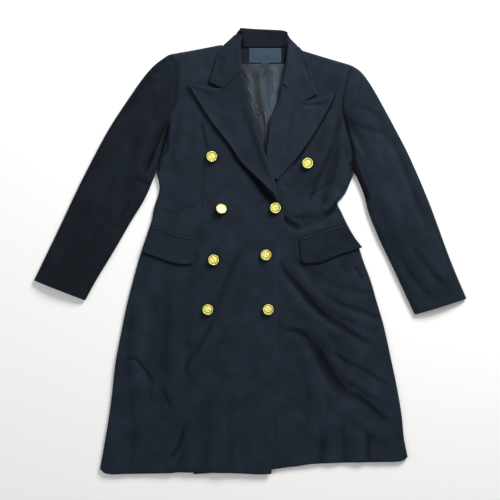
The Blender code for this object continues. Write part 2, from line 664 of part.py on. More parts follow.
def build_collar(beneath, finish):
    """The collar: both wings, the fall behind the neck, and the inside of the stand."""
    right_patches, right_meets = wing_patches("right", beneath["right"])
    left_patches, left_meets = wing_patches("left", beneath["left"])
    rows = np.array(NECK_BACK, dtype=float)
    start = np.column_stack([rows[:, 1] + FALL_INSET, rows[:, 0]])
    end = np.column_stack([rows[:, 2] - FALL_INSET, rows[:, 0]])
    start[:len(right_meets)] = right_meets
    end[:len(left_meets)] = left_meets
    across = np.linspace(0, 1, 9)
    flat = start[:, None] + (end - start)[:, None] * across[:, None]
    fall = np.dstack([flat, np.full(flat.shape[:2], FLOOR_MID)])
    fall_facing = -level(fall)

    (top_y, top_mid), (low_y, _) = STAND[0], STAND[-1]
    half = (top_mid - FLOOR_MID) / 2
    turn, turn_facing = [], []
    for angle in np.radians([45, 90, 135]):
        section = fall[-1].copy()
        section[:, 1] += half * math.sin(angle)
        section[:, 2] = FLOOR_MID + half - half * math.cos(angle)
        turn.append(section)
        turn_facing.append(np.tile([0.0, math.sin(angle), -math.cos(angle)], (len(across), 1)))
    for y, z in STAND:
        share = (top_y - y) / (top_y - low_y)
        section = fall[-1].copy()
        section[:, 0] = np.linspace(fall[-1, 0, 0] + STAND_INSET[0] * share,
                                    fall[-1, -1, 0] + STAND_INSET[1] * share, len(across))
        section[:, 1] = y
        section[:, 2] = z
        turn.append(section)
        turn_facing.append(np.tile([0.0, 0.0, 1.0], (len(across), 1)))
    back = np.concatenate([fall, np.array(turn)], axis=0)
    back_facing = np.concatenate([fall_facing, np.array(turn_facing)], axis=0)
    return wall("collar", right_patches + left_patches + [(back, back_facing, all_cells(back))],
                WOOL, finish)


# ---------------------------------------------------------------- pockets, neck and buttons

def build_pocket(side, beneath, finish):
    """A pocket flap and the narrow jet above it, laid on the front."""
    rows = np.array(FLAP[side], dtype=float)
    top_line, bottom_line = rows[:, :2], rows[:, 2:]
    across = np.linspace(0, 1, 4)
    flat = top_line[:, None] + (bottom_line - top_line)[:, None] * across[:, None]
    sheet = np.dstack([flat, laid_on(beneath, flat, FLAP_REACH, BODY_REST)])
    wall("pocket_flap_" + side, [(sheet, level(sheet), all_cells(sheet))], WOOL, finish)
    upward = directions(top_line - bottom_line)
    jet_low = top_line + upward * 2 * SEAM
    jet_high = jet_low + upward * JET_WIDTH
    flat = np.stack([jet_low, jet_high], axis=1)
    sheet = np.dstack([flat, laid_on(beneath, flat, FLAP_REACH, BODY_REST, JET)])
    wall("pocket_jet_" + side, [(sheet, level(sheet), all_cells(sheet))], JET, finish)


def patch(name, bounds, bottom, thickness, finish):
    """A small rectangle of cloth, lying level."""
    left, right, low, high = bounds
    plate(name, [(left, low), (right, low), (right, high), (left, high)], bottom, thickness, finish)


def build_neck(finish, facing_finish, label_finish):
    """The lining that shows in the neck V, the neck facing, and its bare labels."""
    rows = through(LINING_ROWS, 13)
    across = np.linspace(0, 1, 9)
    x = rows[:, 1:2] + (rows[:, 2:3] - rows[:, 1:2]) * across
    y = np.broadcast_to(rows[:, :1], x.shape)
    rest = WOOL + SEAM + LINING / 2
    shown = np.sin(np.pi * across) ** 0.6 * ease((LINING_ROWS[0][0] - y) / LINING_EASE)
    sheet = np.dstack([x, y, rest + shown * fold_height(LINING_FOLDS, x, y)])
    wall("lining", [(sheet, level(sheet), all_cells(sheet))], LINING, finish)

    facing_bottom = WOOL + SEAM
    label_bottom = facing_bottom + FACING + SEAM
    patch("neck_facing", NECK_FACING, facing_bottom, FACING, facing_finish)
    patch("neck_label", LABEL, label_bottom, RIBBON, label_finish)
    patch("size_tab", SIZE_TAB, label_bottom, RIBBON, label_finish)


def button_mesh(finish):
    """A turned shank button: raised rim, domed face and a round shank below."""
    #           radius          height
    profile = [(0.0, BUTTON_HEIGHT - 0.3),
               (BUTTON_RADIUS * 0.80, BUTTON_HEIGHT - 1.0),
               (BUTTON_RADIUS * 0.90, BUTTON_HEIGHT),
               (BUTTON_RADIUS, BUTTON_HEIGHT - 0.9),
               (BUTTON_RADIUS * 0.97, BUTTON_HEIGHT - 2.4),
               (3.2, BUTTON_HEIGHT - 3.4),
               (2.6, 0.0),
               (0.0, 0.0)]
    mesh = bpy.data.meshes.new("button")
    mesh.from_pydata([(radius * MM, 0, height * MM) for radius, height in profile],
                     [(k, k + 1) for k in range(len(profile) - 1)], [])
    mesh.materials.append(finish)
    return mesh


def build_button(number, row, mesh, beneath):
    """One button, its shank on the cloth."""
    x, y, tilt_x, tilt_y, lift = row
    piece = bpy.data.objects.new(f"button_{number}", mesh)
    bpy.data.collections["peacoat"].objects.link(piece)
    seat = top_height(beneath, x, y, SHANK_REACH, BODY_REST)
    piece.location = (x * MM, y * MM, (seat + SEAM + lift) * MM)
    piece.rotation_euler = (math.radians(tilt_x), math.radians(tilt_y), 0)
    turn = piece.modifiers.new("turned", "SCREW")
    turn.steps = turn.render_steps = 20
    turn.use_merge_vertices = True
    turn.merge_threshold = 0.00002
    turn.use_smooth_shade = True


def build_coat():
    """Builds the whole coat."""
    for old in list(bpy.data.objects):
        bpy.data.objects.remove(old)
    collection = bpy.data.collections.new("peacoat")
    bpy.context.scene.collection.children.link(collection)
    wool = material("navy wool", 0.9)
    upper_wool = material("navy wool upper collar", 0.85)
    lining = material("slate lining", 0.55)
    label = material("slate label", 0.6)
    brass = material("gilt brass", 0.35, 1.0)

    right = build_front("right", wool)
    left = build_front("left", wool)
    for side in ("right", "left"):
        build_sleeve(side, wool)
    build_back(right, left, wool)
    fronts = {side: surface_tree([bpy.data.objects["front_" + side]]) for side in ("right", "left")}
    for side in ("left", "right"):
        build_lapel(side, fronts[side], upper_wool)
        build_pocket(side, fronts[side], wool)
    build_collar(fronts, upper_wool)
    build_neck(lining, wool, label)
    mesh = button_mesh(brass)
    for number, row in enumerate(BUTTONS, start=1):
        build_button(number, row, mesh, fronts["right"])
    build_button(len(BUTTONS) + 1, LEFT_BUTTON, mesh, fronts["left"])


build_coat()
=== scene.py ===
# %% [markdown]
# # A knee-length double-breasted wool coat, laid on its back
#
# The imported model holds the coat's construction. This lesson gives it its looks: every panel
# becomes a dense cloth wall with the folds of the real coat, and gets a woven finish. Sides are
# the wearer's, so the right front, which closes on top, lies at the left of the picture.

# %% Load the frame
import math

import bpy
import numpy as np
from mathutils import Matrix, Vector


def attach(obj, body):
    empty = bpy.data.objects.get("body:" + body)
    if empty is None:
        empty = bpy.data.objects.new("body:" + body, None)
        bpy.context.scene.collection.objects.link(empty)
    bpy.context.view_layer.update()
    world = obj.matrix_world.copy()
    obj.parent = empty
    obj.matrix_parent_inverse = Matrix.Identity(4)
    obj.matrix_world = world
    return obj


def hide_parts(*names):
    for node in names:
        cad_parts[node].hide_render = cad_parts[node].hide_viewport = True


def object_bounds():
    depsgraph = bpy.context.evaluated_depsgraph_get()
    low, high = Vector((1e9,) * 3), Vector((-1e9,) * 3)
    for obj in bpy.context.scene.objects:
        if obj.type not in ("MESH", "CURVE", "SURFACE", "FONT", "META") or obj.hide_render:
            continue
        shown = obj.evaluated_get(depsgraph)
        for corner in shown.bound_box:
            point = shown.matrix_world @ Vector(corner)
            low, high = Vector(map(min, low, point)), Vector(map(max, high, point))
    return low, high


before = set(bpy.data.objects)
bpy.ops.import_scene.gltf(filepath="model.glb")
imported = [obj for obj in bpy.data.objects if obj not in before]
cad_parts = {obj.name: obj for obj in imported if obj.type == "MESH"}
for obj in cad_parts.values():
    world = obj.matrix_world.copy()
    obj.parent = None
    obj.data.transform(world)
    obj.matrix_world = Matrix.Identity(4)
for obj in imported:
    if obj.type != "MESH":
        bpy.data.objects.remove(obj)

cad_low, cad_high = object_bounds()
cad_box = [round(1000 * (high - low)) for low, high in zip(cad_low, cad_high)]
print("solids:", len(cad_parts), "box in mm:", cad_box)

# %% [markdown]
# ## Sizes
#
# A tailor thinks in millimetres, so the tables below do too, and a mesh turns them to metres.
# The wool wall stands for shell, canvas and lining together. Heights are those of the middle
# of a wall above the floor: the back lies flat, the fronts lie on it, and the two fronts
# overlap.

# %% Cloth, heights and rolled edges
MM = 0.001              # a millimetre, in metres
WOOL = 2.5              # thickness of each wall
LINING = 1.0
FACING = 1.2
RIBBON = 0.6
JET = 1.5
SEAM = 0.3              # gap that a seam leaves between two pieces
LAY = 0.8               # air between a piece and the cloth it lies on
FLOOR_MID = WOOL / 2    # height of the middle of a wall on the floor
BODY_REST = 7.5         # and of a front's, an overlapped front's, an overlapping one's, a sleeve's
UNDER_REST = 6.2
OVERLAP_REST = 9.6
SLEEVE_REST = 8.5
SLEEVE_DOME = 6.0       # how much higher a sleeve is along its middle
DOME_POWER = 0.8
DEEPEST = -3.2          # troughs flatten out towards this depth
SIDE_ROLL = 4.0         # how far in the turned-over edges reach
SHOULDER_ROLL = 7.0
CUFF_ROLL = 5.5
LAPEL_ROLL = 3.8
NECK_ROLL = 5.0
LAPEL_TUCK = 7.2        # how far a front ends inside its lapel's roll
TUCK_EASE = 14.0
STRIP = 6.0             # flat strip that a rolled edge leaves on the floor
ROLL_ANGLES = np.radians(np.linspace(180, 18, 10))
ROLL_END = {"right": 93, "left": 200}   # the lapel's roll line ends at this height up the coat
OVERLAP_TOP = 300.0     # the fronts overlap below this height
OVERLAP_EASE = 60.0
COVER_REACH = 34.0      # an overlap is felt this far beyond the other front's edge
COVER_BACK = 22.0
COVER_EASE = 30.0
COVER_STIFF = 0.75      # share of its troughs that the doubled wool takes out
STEP = 3.4              # spacing of a cloth grid
EDGE_STEPS = np.array([0.0, 0.35, 0.9, 1.7, 2.8, 4.2])
EDGE_WIDTH = 4.0        # a pressed edge sinks by its drop over this width
EDGE_DROP = 1.5
SEAM_DIP = 2.6          # the armhole's seam sinks by this, over its width to either side
SEAM_WIDTH = 5.0
SIGN = {"right": 1, "left": -1}         # the way from a side's seam to the coat's middle

# %% [markdown]
# ## The pattern
#
# Each table is a chain of places along a seam or an edge. The second and third columns of the
# armhole and the side say where a cross-row of the front starts and at what height it meets
# the front's free edge, so one table lays out the whole panel.

# %% Outlines of the fronts and sleeves
#                  seam_x  seam_y  edge_y
ARMHOLE = {
    "right": [(-184, 438, 452), (-168, 416, 430), (-164, 380, 395), (-168, 340, 348),
              (-183, 294, 290), (-197, 238, 236), (-212, 179, 186)],
    "left": [(229, 414, 446), (220, 394, 425), (210, 357, 388), (207, 322, 352),
             (216, 280, 300), (229, 226, 240), (233, 176, 188)],
}
#                  side_x  side_y  edge_y
SIDE = {
    "right": [(-212, 179, 186), (-205, 152, 158), (-205, 130, 130), (-216, 95, 96),
              (-222, 65, 66), (-232, 35, 34), (-250, -20, -24), (-274, -110, -112),
              (-289, -180, -184), (-303, -255, -260), (-311, -325, -330),
              (-320, -390, -400), (-337, -489, -500)],
    "left": [(233, 176, 188), (224, 152, 160), (212, 126, 134), (196, 108, 106),
             (205, 85, 75), (221, 52, 40), (240, 18, 5), (254, -24, -35),
             (270, -67, -80), (284, -115, -130), (300, -170, -190), (315, -238, -255),
             (329, -305, -325), (340, -370, -390), (345, -420, -440), (353, -462, -494)],
}
#               edge_y  edge_x
FRONT_EDGE = {
    "right": [(452, -22), (415, -20.5), (390, -14.5), (366, -7), (343, -2), (303, 8),
              (271, 17), (233, 28), (204, 38), (177, 47), (150, 56), (125, 62), (107, 67),
              (84, 74), (46, 74), (0, 68.5), (-60, 63.5), (-250, 60), (-400, 55),
              (-500, 46)],
    "left": [(446, 82), (415, 77.5), (388, 72), (370, 68), (343, 65), (327, 60), (309, 51),
             (291, 43), (262, 40), (231, 36), (208, 31), (181, 13), (159, -10),
             (136, -32), (111, -59), (73, -68), (17, -77), (-30, -93), (-98, -109),
             (-195, -116), (-494, -127)],
}
#                outer_x outer_y inner_x inner_y
SLEEVE = {
    "right": [(-184, 438, -212, 179), (-223, 407, -220, 157), (-268, 348, -239, 113),
              (-320, 267, -270, 62), (-374, 165, -308, -4), (-430, 48, -345, -65),
              (-485, -66, -370, -111)],
    "left": [(229, 414, 233, 176), (251, 397, 242, 160), (276, 361, 256, 125),
             (315, 292, 268, 80), (359, 206, 292, 21), (404, 100, 322, -42),
             (449, -21, 350, -103), (485, -107, 369, -143)],
}

# %% Outlines of the lapels, the collar and the pockets
#                roll_y edge_x edge_y hang_y
LAPEL = {
    "right": [(400, -29.5, 390.5, 0), (381, -43.5, 375.5, 0), (364, -57, 360, 0),
              (346, -100, 365, -12), (330, -138, 371, -10), (312, -126, 351, -5),
              (293, -105, 316, 0), (271, -86, 288, 0), (250, -68, 265, 0),
              (228, -46, 237, 0), (204, -21, 199, 0), (177, 6, 172, 0), (150, 33, 146, 0),
              (130, 52, 126, 0), (113, 58, 111, 0)],
    "left": [(371, 83, 362.5, 0), (357, 98.5, 347.5, 0), (343, 114.5, 331.5, 0),
             (333, 150, 339, -22), (321, 188, 351, -25), (308, 179, 327, -15),
             (291, 160, 294, -6), (272, 145, 268, -2), (250, 129, 243, 0),
             (229, 113, 220, 0), (204, 93, 195, 0), (181, 76, 176, 0), (161, 62, 160, 0)],
}
NOTCH_ROW = 2           # row of the lapel table at the notch, and at the tip of the peak
PEAK_ROW = 4
COVERED_BELOW = {"right": -1000.0, "left": 206.0}   # the other front covers the roll below this
#               roll_x roll_y edge_x edge_y hang_x hang_y
WING = {
    "right": [(-17.5, 402, -92, 377, -2.5, -27), (-19.5, 416, -86, 397, -2, -15),
              (-20.5, 430, -79, 419, 0, -6), (-21, 443, -72, 440, 0, 0),
              (-21, 459, -61, 459, 0, 0), (-20, 466, -54, 466, 0, 0),
              (-19.5, 474, -45, 474, 0, 0), (-19, 482, -37, 482, 0, 0)],
    "left": [(69.5, 374, 148, 350, 6, -29), (73, 390, 143, 370, 3, -15),
             (77, 408, 136, 394, 0, -6), (79, 422, 131, 417, 0, 0),
             (81, 438, 123, 436, 0, 0), (82.5, 459, 105.5, 459, 0, 0),
             (83, 467, 97.5, 467, 0, 0)],
}
NECK_FOLD_FROM = 457.0  # the wing's edge folds round the neck above this height
SHOULDER_END = {"right": -62, "left": 109}   # the shoulder's rolled edge ends beneath the collar here
#             y   left_x right_x
NECK_BACK = [(459, -61, 108), (466, -54, 101), (474, -45, 96), (482, -37, 91.5),
             (489, -31, 88), (496.4, -24, 84)]
#         y     middle_height
STAND = [(496.4, 6.0), (485, 5.8), (470, 5.7), (457.4, 5.7)]
#            share drop: how far the hem hangs below a straight row, from the side to the front edge
HEM = {
    "right": [(0, 0), (0.013, 5.0), (0.026, 7.4), (0.068, 9.8), (0.17, 9.5), (0.29, 7.3),
              (0.42, 4.6), (0.45, 2.6), (0.60, 1.4), (0.75, 0.4), (0.94, 1.6), (1, 0)],
    "left": [(0, 0), (0.013, 4.6), (0.03, 6.6), (0.07, 8.0), (0.13, 7.5), (0.31, 2.8),
             (0.45, 1.4), (0.55, 5.3), (0.62, 7.6), (1, 7)],
}
HEM_REACH = 55.0
#              x     y: the back's hem, which shows as a dark line below the fronts' hems
BACK_HEM = [(-336, -490), (-325, -497.5), (-308, -501), (-225, -501), (-168, -498.5),
            (-140, -492), (0, -488), (100, -486), (134, -480), (202, -477), (292, -475.5),
            (328, -473), (350, -464)]
#                top_x top_y bottom_x bottom_y
FLAP = {
    "right": [(-224, 48, -243, -4), (-203, 43, -221, -10), (-181, 35, -195, -20),
              (-158, 27, -169, -28), (-138, 24.5, -144, -30.5), (-126, 24, -127, -28)],
    "left": [(214, 53, 250, 8), (202, 49, 229, 0), (179, 42, 202, -8),
             (157, 35, 177, -18), (134, 28, 152, -27), (110, 21, 116.5, -28)],
}
JET_WIDTH = 5.0
FLAP_CORNER = 8.0       # radius of a flap's free lower corner

# %% [markdown]
# Eight buttons stand on the fronts, and the second one leans. Painted shade darkens a ring of
# wool beside each button, and the lapel, the wing and the flap of each side get their own share
# of painted shade, for how they lean towards the window or away from it.

# %% Places of the buttons, and painted shade on the turned-over pieces
#           x    y   tilt_x tilt_y lift turn
BUTTONS = [(-86, 210, 0, 0, 0.0, 8), (-66, 91, -22, 14, 1.2, 30), (56, 95, 0, 0, 0.0, -12),
           (-82, -21, 0, 0, 0.0, 4), (35, -10, 0, 0, 0.0, 20), (-95, -132, 0, 0, 0.0, -8),
           (40, -132, 0, 0, 0.0, 14)]
LEFT_BUTTON = (128, 195, 0, 0, 0.0, -16)
BUTTON_RADIUS = 12.0
RING_SHADE = 0.75       # how much painted shade darkens the wool right beside a button
RING_REACH = 4.5
# Share of light that painted shade leaves on each side's lapel, wing and flap
LAPEL_LIGHT = {"right": 0.84, "left": 1.0}
WING_LIGHT = {"right": 0.76, "left": 1.0}
FLAP_LIGHT = {"right": 0.9, "left": 0.7}
DEEPEST_SHADE = 0.9     # the most light that a painted shade takes away

# %% [markdown]
# ## Folds
#
# A fold is a soft ridge or trough that follows a path and fades out at its ends. Cloth that
# lies on a table is never symmetric, so each fold has its own path, a width to either side of
# it, and a height. A crisp fold comes to a point, as a crease does where the wool doubles back,
# and a soft one is round.

# %% Tables of folds
#   path                                            width_left width_right height crisp
FOLDS = {
    "right": [
        ([(-192, -70), (-196, -179), (-204, -285), (-198, -390)], 24, 34, -3.6, 0.1),
        ([(-240, -80), (-252, -230), (-240, -420)], 28, 24, 3.4, 0.0),
        ([(-150, -120), (-160, -240), (-150, -400)], 26, 26, 2.4, 0.0),
        ([(-109, 290), (-104, 256), (-94, 216)], 9, 9, -2.2, 0.3),
        ([(-98, 236), (-106, 150), (-110, 50)], 5, 7, -0.8, 0.6),
        ([(-130, 56), (-113, 34), (-100, 10)], 18, 20, -1.0, 0.2),
        ([(-292, -249), (-259, -243), (-243, -260), (-221, -291), (-198, -314), (-182, -346),
          (-172, -372)], 9, 5, -2.8, 0.8),
        ([(-286, -232), (-236, -244), (-188, -300), (-160, -360)], 18, 16, 1.0, 0.0),
        ([(-80, -156), (-108, -206), (-131, -240), (-149, -280)], 8, 13, -1.8, 0.3),
        ([(-60, -178), (-96, -224), (-128, -276)], 16, 16, 1.0, 0.0),
        ([(-138, -384), (-158, -434), (-180, -478)], 6, 11, -2.6, 0.6),
        ([(-150, -440), (-172, -470), (-190, -520)], 12, 12, 1.0, 0.0),
        ([(-134, -240), (-90, -262), (-40, -300)], 12, 14, -1.2, 0.1),
        ([(-96, -200), (-40, -226), (20, -268)], 14, 14, -1.0, 0.1),
        ([(-30, 45), (-78, -60), (-110, -160)], 30, 30, 2.6, 0.0),
        ([(0, 24), (-34, -33), (-57, -89), (-79, -156)], 22, 16, -2.4, 0.3),
        ([(-60, -300), (-70, -400), (-62, -530)], 30, 30, 2.4, 0.0),
        ([(20, 290), (45, 200), (68, 104)], 42, 42, 3.0, 0.0),
        ([(-184, 306), (-196, 248), (-207, 200), (-216, 156)], 14, 8, -4.6, 0.4),
        ([(-146, 330), (-150, 250), (-168, 180)], 20, 18, 2.6, 0.0),
        ([(-206, 96), (-170, 84), (-140, 98), (-110, 96)], 12, 14, -1.3, 0.2),
        ([(-30, 165), (-10, 120), (30, 96)], 20, 26, -1.6, 0.1),
        ([(-194, 430), (-182, 400), (-172, 368)], 12, 14, -2.4, 0.3),
        ([(-250, -380), (-262, -430), (-268, -520)], 16, 18, -1.2, 0.1),
        ([(-10, -330), (-14, -420), (-8, -520)], 20, 20, -2.0, 0.1),
        ([(-100, -330), (-106, -420), (-104, -520)], 16, 18, -1.6, 0.1),
        ([(10, -150), (0, -240), (14, -330)], 24, 20, -1.6, 0.1),
    ],
    "left": [
        ([(60, 92), (100, 92), (140, 91), (168, 97), (186, 112), (210, 138)], 36, 24, 3.4, 0.0),
        ([(156, 88), (170, 93), (184, 106), (206, 132)], 20, 8, 2.6, 0.3),
        ([(160, 78), (172, 81), (181, 90), (195, 109), (210, 122)], 6, 12, -5.6, 0.7),
        ([(84, 74), (116, 76), (150, 76)], 5, 9, -0.8, 0.3),
        ([(62, 78), (78, 71), (92, 60), (116, 50)], 8, 16, -4.6, 0.4),
        ([(96, 34), (130, 44), (176, 62)], 12, 14, 1.6, 0.0),
        ([(193, 360), (204, 294), (196, 237), (178, 170), (160, 118), (143, 92)], 24, 14, -3.6, 0.2),
        ([(168, 330), (178, 260), (158, 180), (140, 118)], 20, 20, 2.6, 0.0),
        ([(198, 158), (184, 154), (160, 140), (128, 117)], 5, 8, -1.8, 0.6),
        ([(148, 150), (142, 134), (130, 108)], 5, 7, -1.3, 0.5),
        ([(74, 150), (86, 144), (100, 146)], 6, 6, -0.8, 0.4),
        ([(60, -12), (78, -44), (101, -72), (126, -102), (150, -130), (176, -152), (206, -170),
          (247, -196), (290, -214)], 9, 20, -4.4, 0.5),
        ([(76, -16), (104, -44), (140, -92), (180, -128), (240, -154), (290, -174)], 18, 12, 2.4, 0.1),
        ([(66, -52), (92, -88), (128, -134), (176, -172), (226, -196)], 16, 20, 1.6, 0.0),
        ([(80, -8), (100, -24), (134, -44), (191, -78), (258, -94), (300, -106)], 12, 16, -1.5, 0.1),
        ([(176, -104), (206, -120), (244, -132), (304, -158)], 8, 14, -1.8, 0.4),
        ([(56, -190), (94, -179), (123, -190), (150, -228), (168, -262), (191, -296), (213, -318),
          (247, -332), (281, -359), (332, -402)], 10, 24, -5.0, 0.5),
        ([(110, -164), (146, -180), (176, -222), (206, -274), (256, -308), (320, -350)], 20, 12,
         2.8, 0.1),
        ([(158, -186), (172, -219), (213, -246), (263, -273), (326, -312)], 8, 14, -2.0, 0.4),
        ([(92, -96), (132, -160), (190, -205)], 24, 24, 1.2, 0.0),
        ([(92, -214), (128, -250), (152, -320), (156, -440)], 26, 24, 2.0, 0.05),
        ([(206, -350), (250, -384), (310, -430)], 18, 16, 1.6, 0.0),
        ([(150, -322), (160, -420), (158, -520)], 12, 16, -1.0, 0.1),
        ([(180, -350), (184, -420), (184, -520)], 16, 16, 1.3, 0.0),
        ([(206, -370), (212, -430), (212, -520)], 13, 13, -1.2, 0.2),
        ([(243, -392), (246, -440), (246, -520)], 14, 14, 1.2, 0.0),
        ([(264, -400), (265, -440), (268, -520)], 11, 11, -1.4, 0.3),
        ([(300, -404), (304, -440), (306, -520)], 11, 13, -0.8, 0.2),
        ([(196, -30), (206, -38), (226, -52)], 8, 10, -1.4, 0.3),
        ([(234, -32), (242, -48), (252, -68)], 8, 8, -1.6, 0.3),
        ([(224, 330), (210, 250), (222, 190)], 14, 16, -4.0, 0.3),
        ([(192, 362), (181, 328), (163, 295), (147, 268), (131, 243), (100, 204)], 6, 9, -4.0, 0.3),
    ],
    "sleeve_right": [
        ([(-248, 300), (-282, 114), (-304, -30)], 26, 24, -3.4, 0.1),
        ([(-300, 250), (-345, 110), (-400, -40)], 30, 30, 2.4, 0.0),
        ([(-190, 300), (-219, 222), (-240, 168)], 12, 16, -5.4, 0.5),
        ([(-208, 300), (-246, 220), (-270, 150)], 22, 18, 2.4, 0.0),
        ([(-262, 164), (-246, 157), (-222, 146)], 7, 8, -2.0, 0.5),
        ([(-222, 400), (-204, 350), (-196, 300)], 16, 16, 2.0, 0.0),
        ([(-178, 400), (-198, 396), (-230, 402)], 8, 9, -1.8, 0.4),
        ([(-180, 374), (-204, 372), (-238, 384)], 8, 9, -1.6, 0.4),
        ([(-268, 120), (-286, 80), (-302, 40)], 8, 12, -1.4, 0.3),
        ([(-330, 60), (-352, 20), (-372, -30)], 14, 12, -0.9, 0.2),
        ([(-300, 180), (-326, 110), (-344, 60)], 14, 18, -1.6, 0.2),
        ([(-380, 20), (-404, -30), (-420, -90)], 20, 20, 1.8, 0.0),
    ],
    "sleeve_left": [
        ([(296, 285), (314, 249), (348, 181), (371, 114), (404, 35)], 26, 20, -4.4, 0.2),
        ([(356, 20), (378, -14), (410, -54), (450, -84)], 12, 18, -2.2, 0.3),
        ([(330, -4), (352, -44), (382, -82), (412, -112)], 10, 16, -1.8, 0.3),
        ([(360, 52), (372, 22), (388, 0)], 10, 10, -0.8, 0.2),
        ([(290, 170), (325, 60), (360, -60)], 26, 26, 2.4, 0.0),
        ([(336, 250), (372, 160), (408, 60)], 22, 20, 2.4, 0.0),
        ([(400, 0), (424, -50), (450, -90)], 16, 16, 1.6, 0.0),
        ([(252, 396), (245, 366), (236, 344)], 9, 10, -3.0, 0.6),
        ([(210, 330), (246, 322), (292, 300)], 12, 14, -1.2, 0.2),
        ([(214, 296), (252, 276), (310, 262)], 10, 16, -1.2, 0.2),
        ([(214, 326), (226, 250), (238, 176)], 8, 12, -3.0, 0.5),
        ([(286, 330), (300, 250), (300, 170)], 16, 18, -2.0, 0.2),
    ],
    "lapel_right": [
        ([(-24, 330), (-2, 270), (22, 200), (46, 146)], 12, 18, -1.7, 0.1),
        ([(-60, 340), (-30, 270), (0, 210)], 20, 20, 1.2, 0.0),
        ([(-112, 352), (-72, 330), (-40, 300)], 16, 14, -1.2, 0.1),
    ],
    "lapel_left": [
        ([(98, 330), (90, 280), (80, 214)], 14, 14, -1.3, 0.1),
        ([(140, 320), (124, 280), (100, 240)], 18, 16, 1.0, 0.0),
        ([(108, 331), (134, 325), (164, 332)], 7, 7, -1.3, 0.3),
    ],
    "wing_right": [([(-60, 440), (-66, 410), (-70, 386)], 14, 12, -1.4, 0.1)],
    "wing_left": [
        ([(98, 440), (110, 400), (122, 366)], 14, 12, -1.0, 0.1),
        ([(116, 430), (130, 396), (140, 366)], 10, 10, -1.7, 0.2),
    ],
}
#   centre_x centre_y reach_x reach_y height
SWELLS = {
    "right": [(-178, 408, 62, 60, 10.5), (-85, 245, 90, 85, 2.6)],
    "left": [(222, 386, 62, 60, 10.5), (150, 225, 80, 85, 3.0)],
}
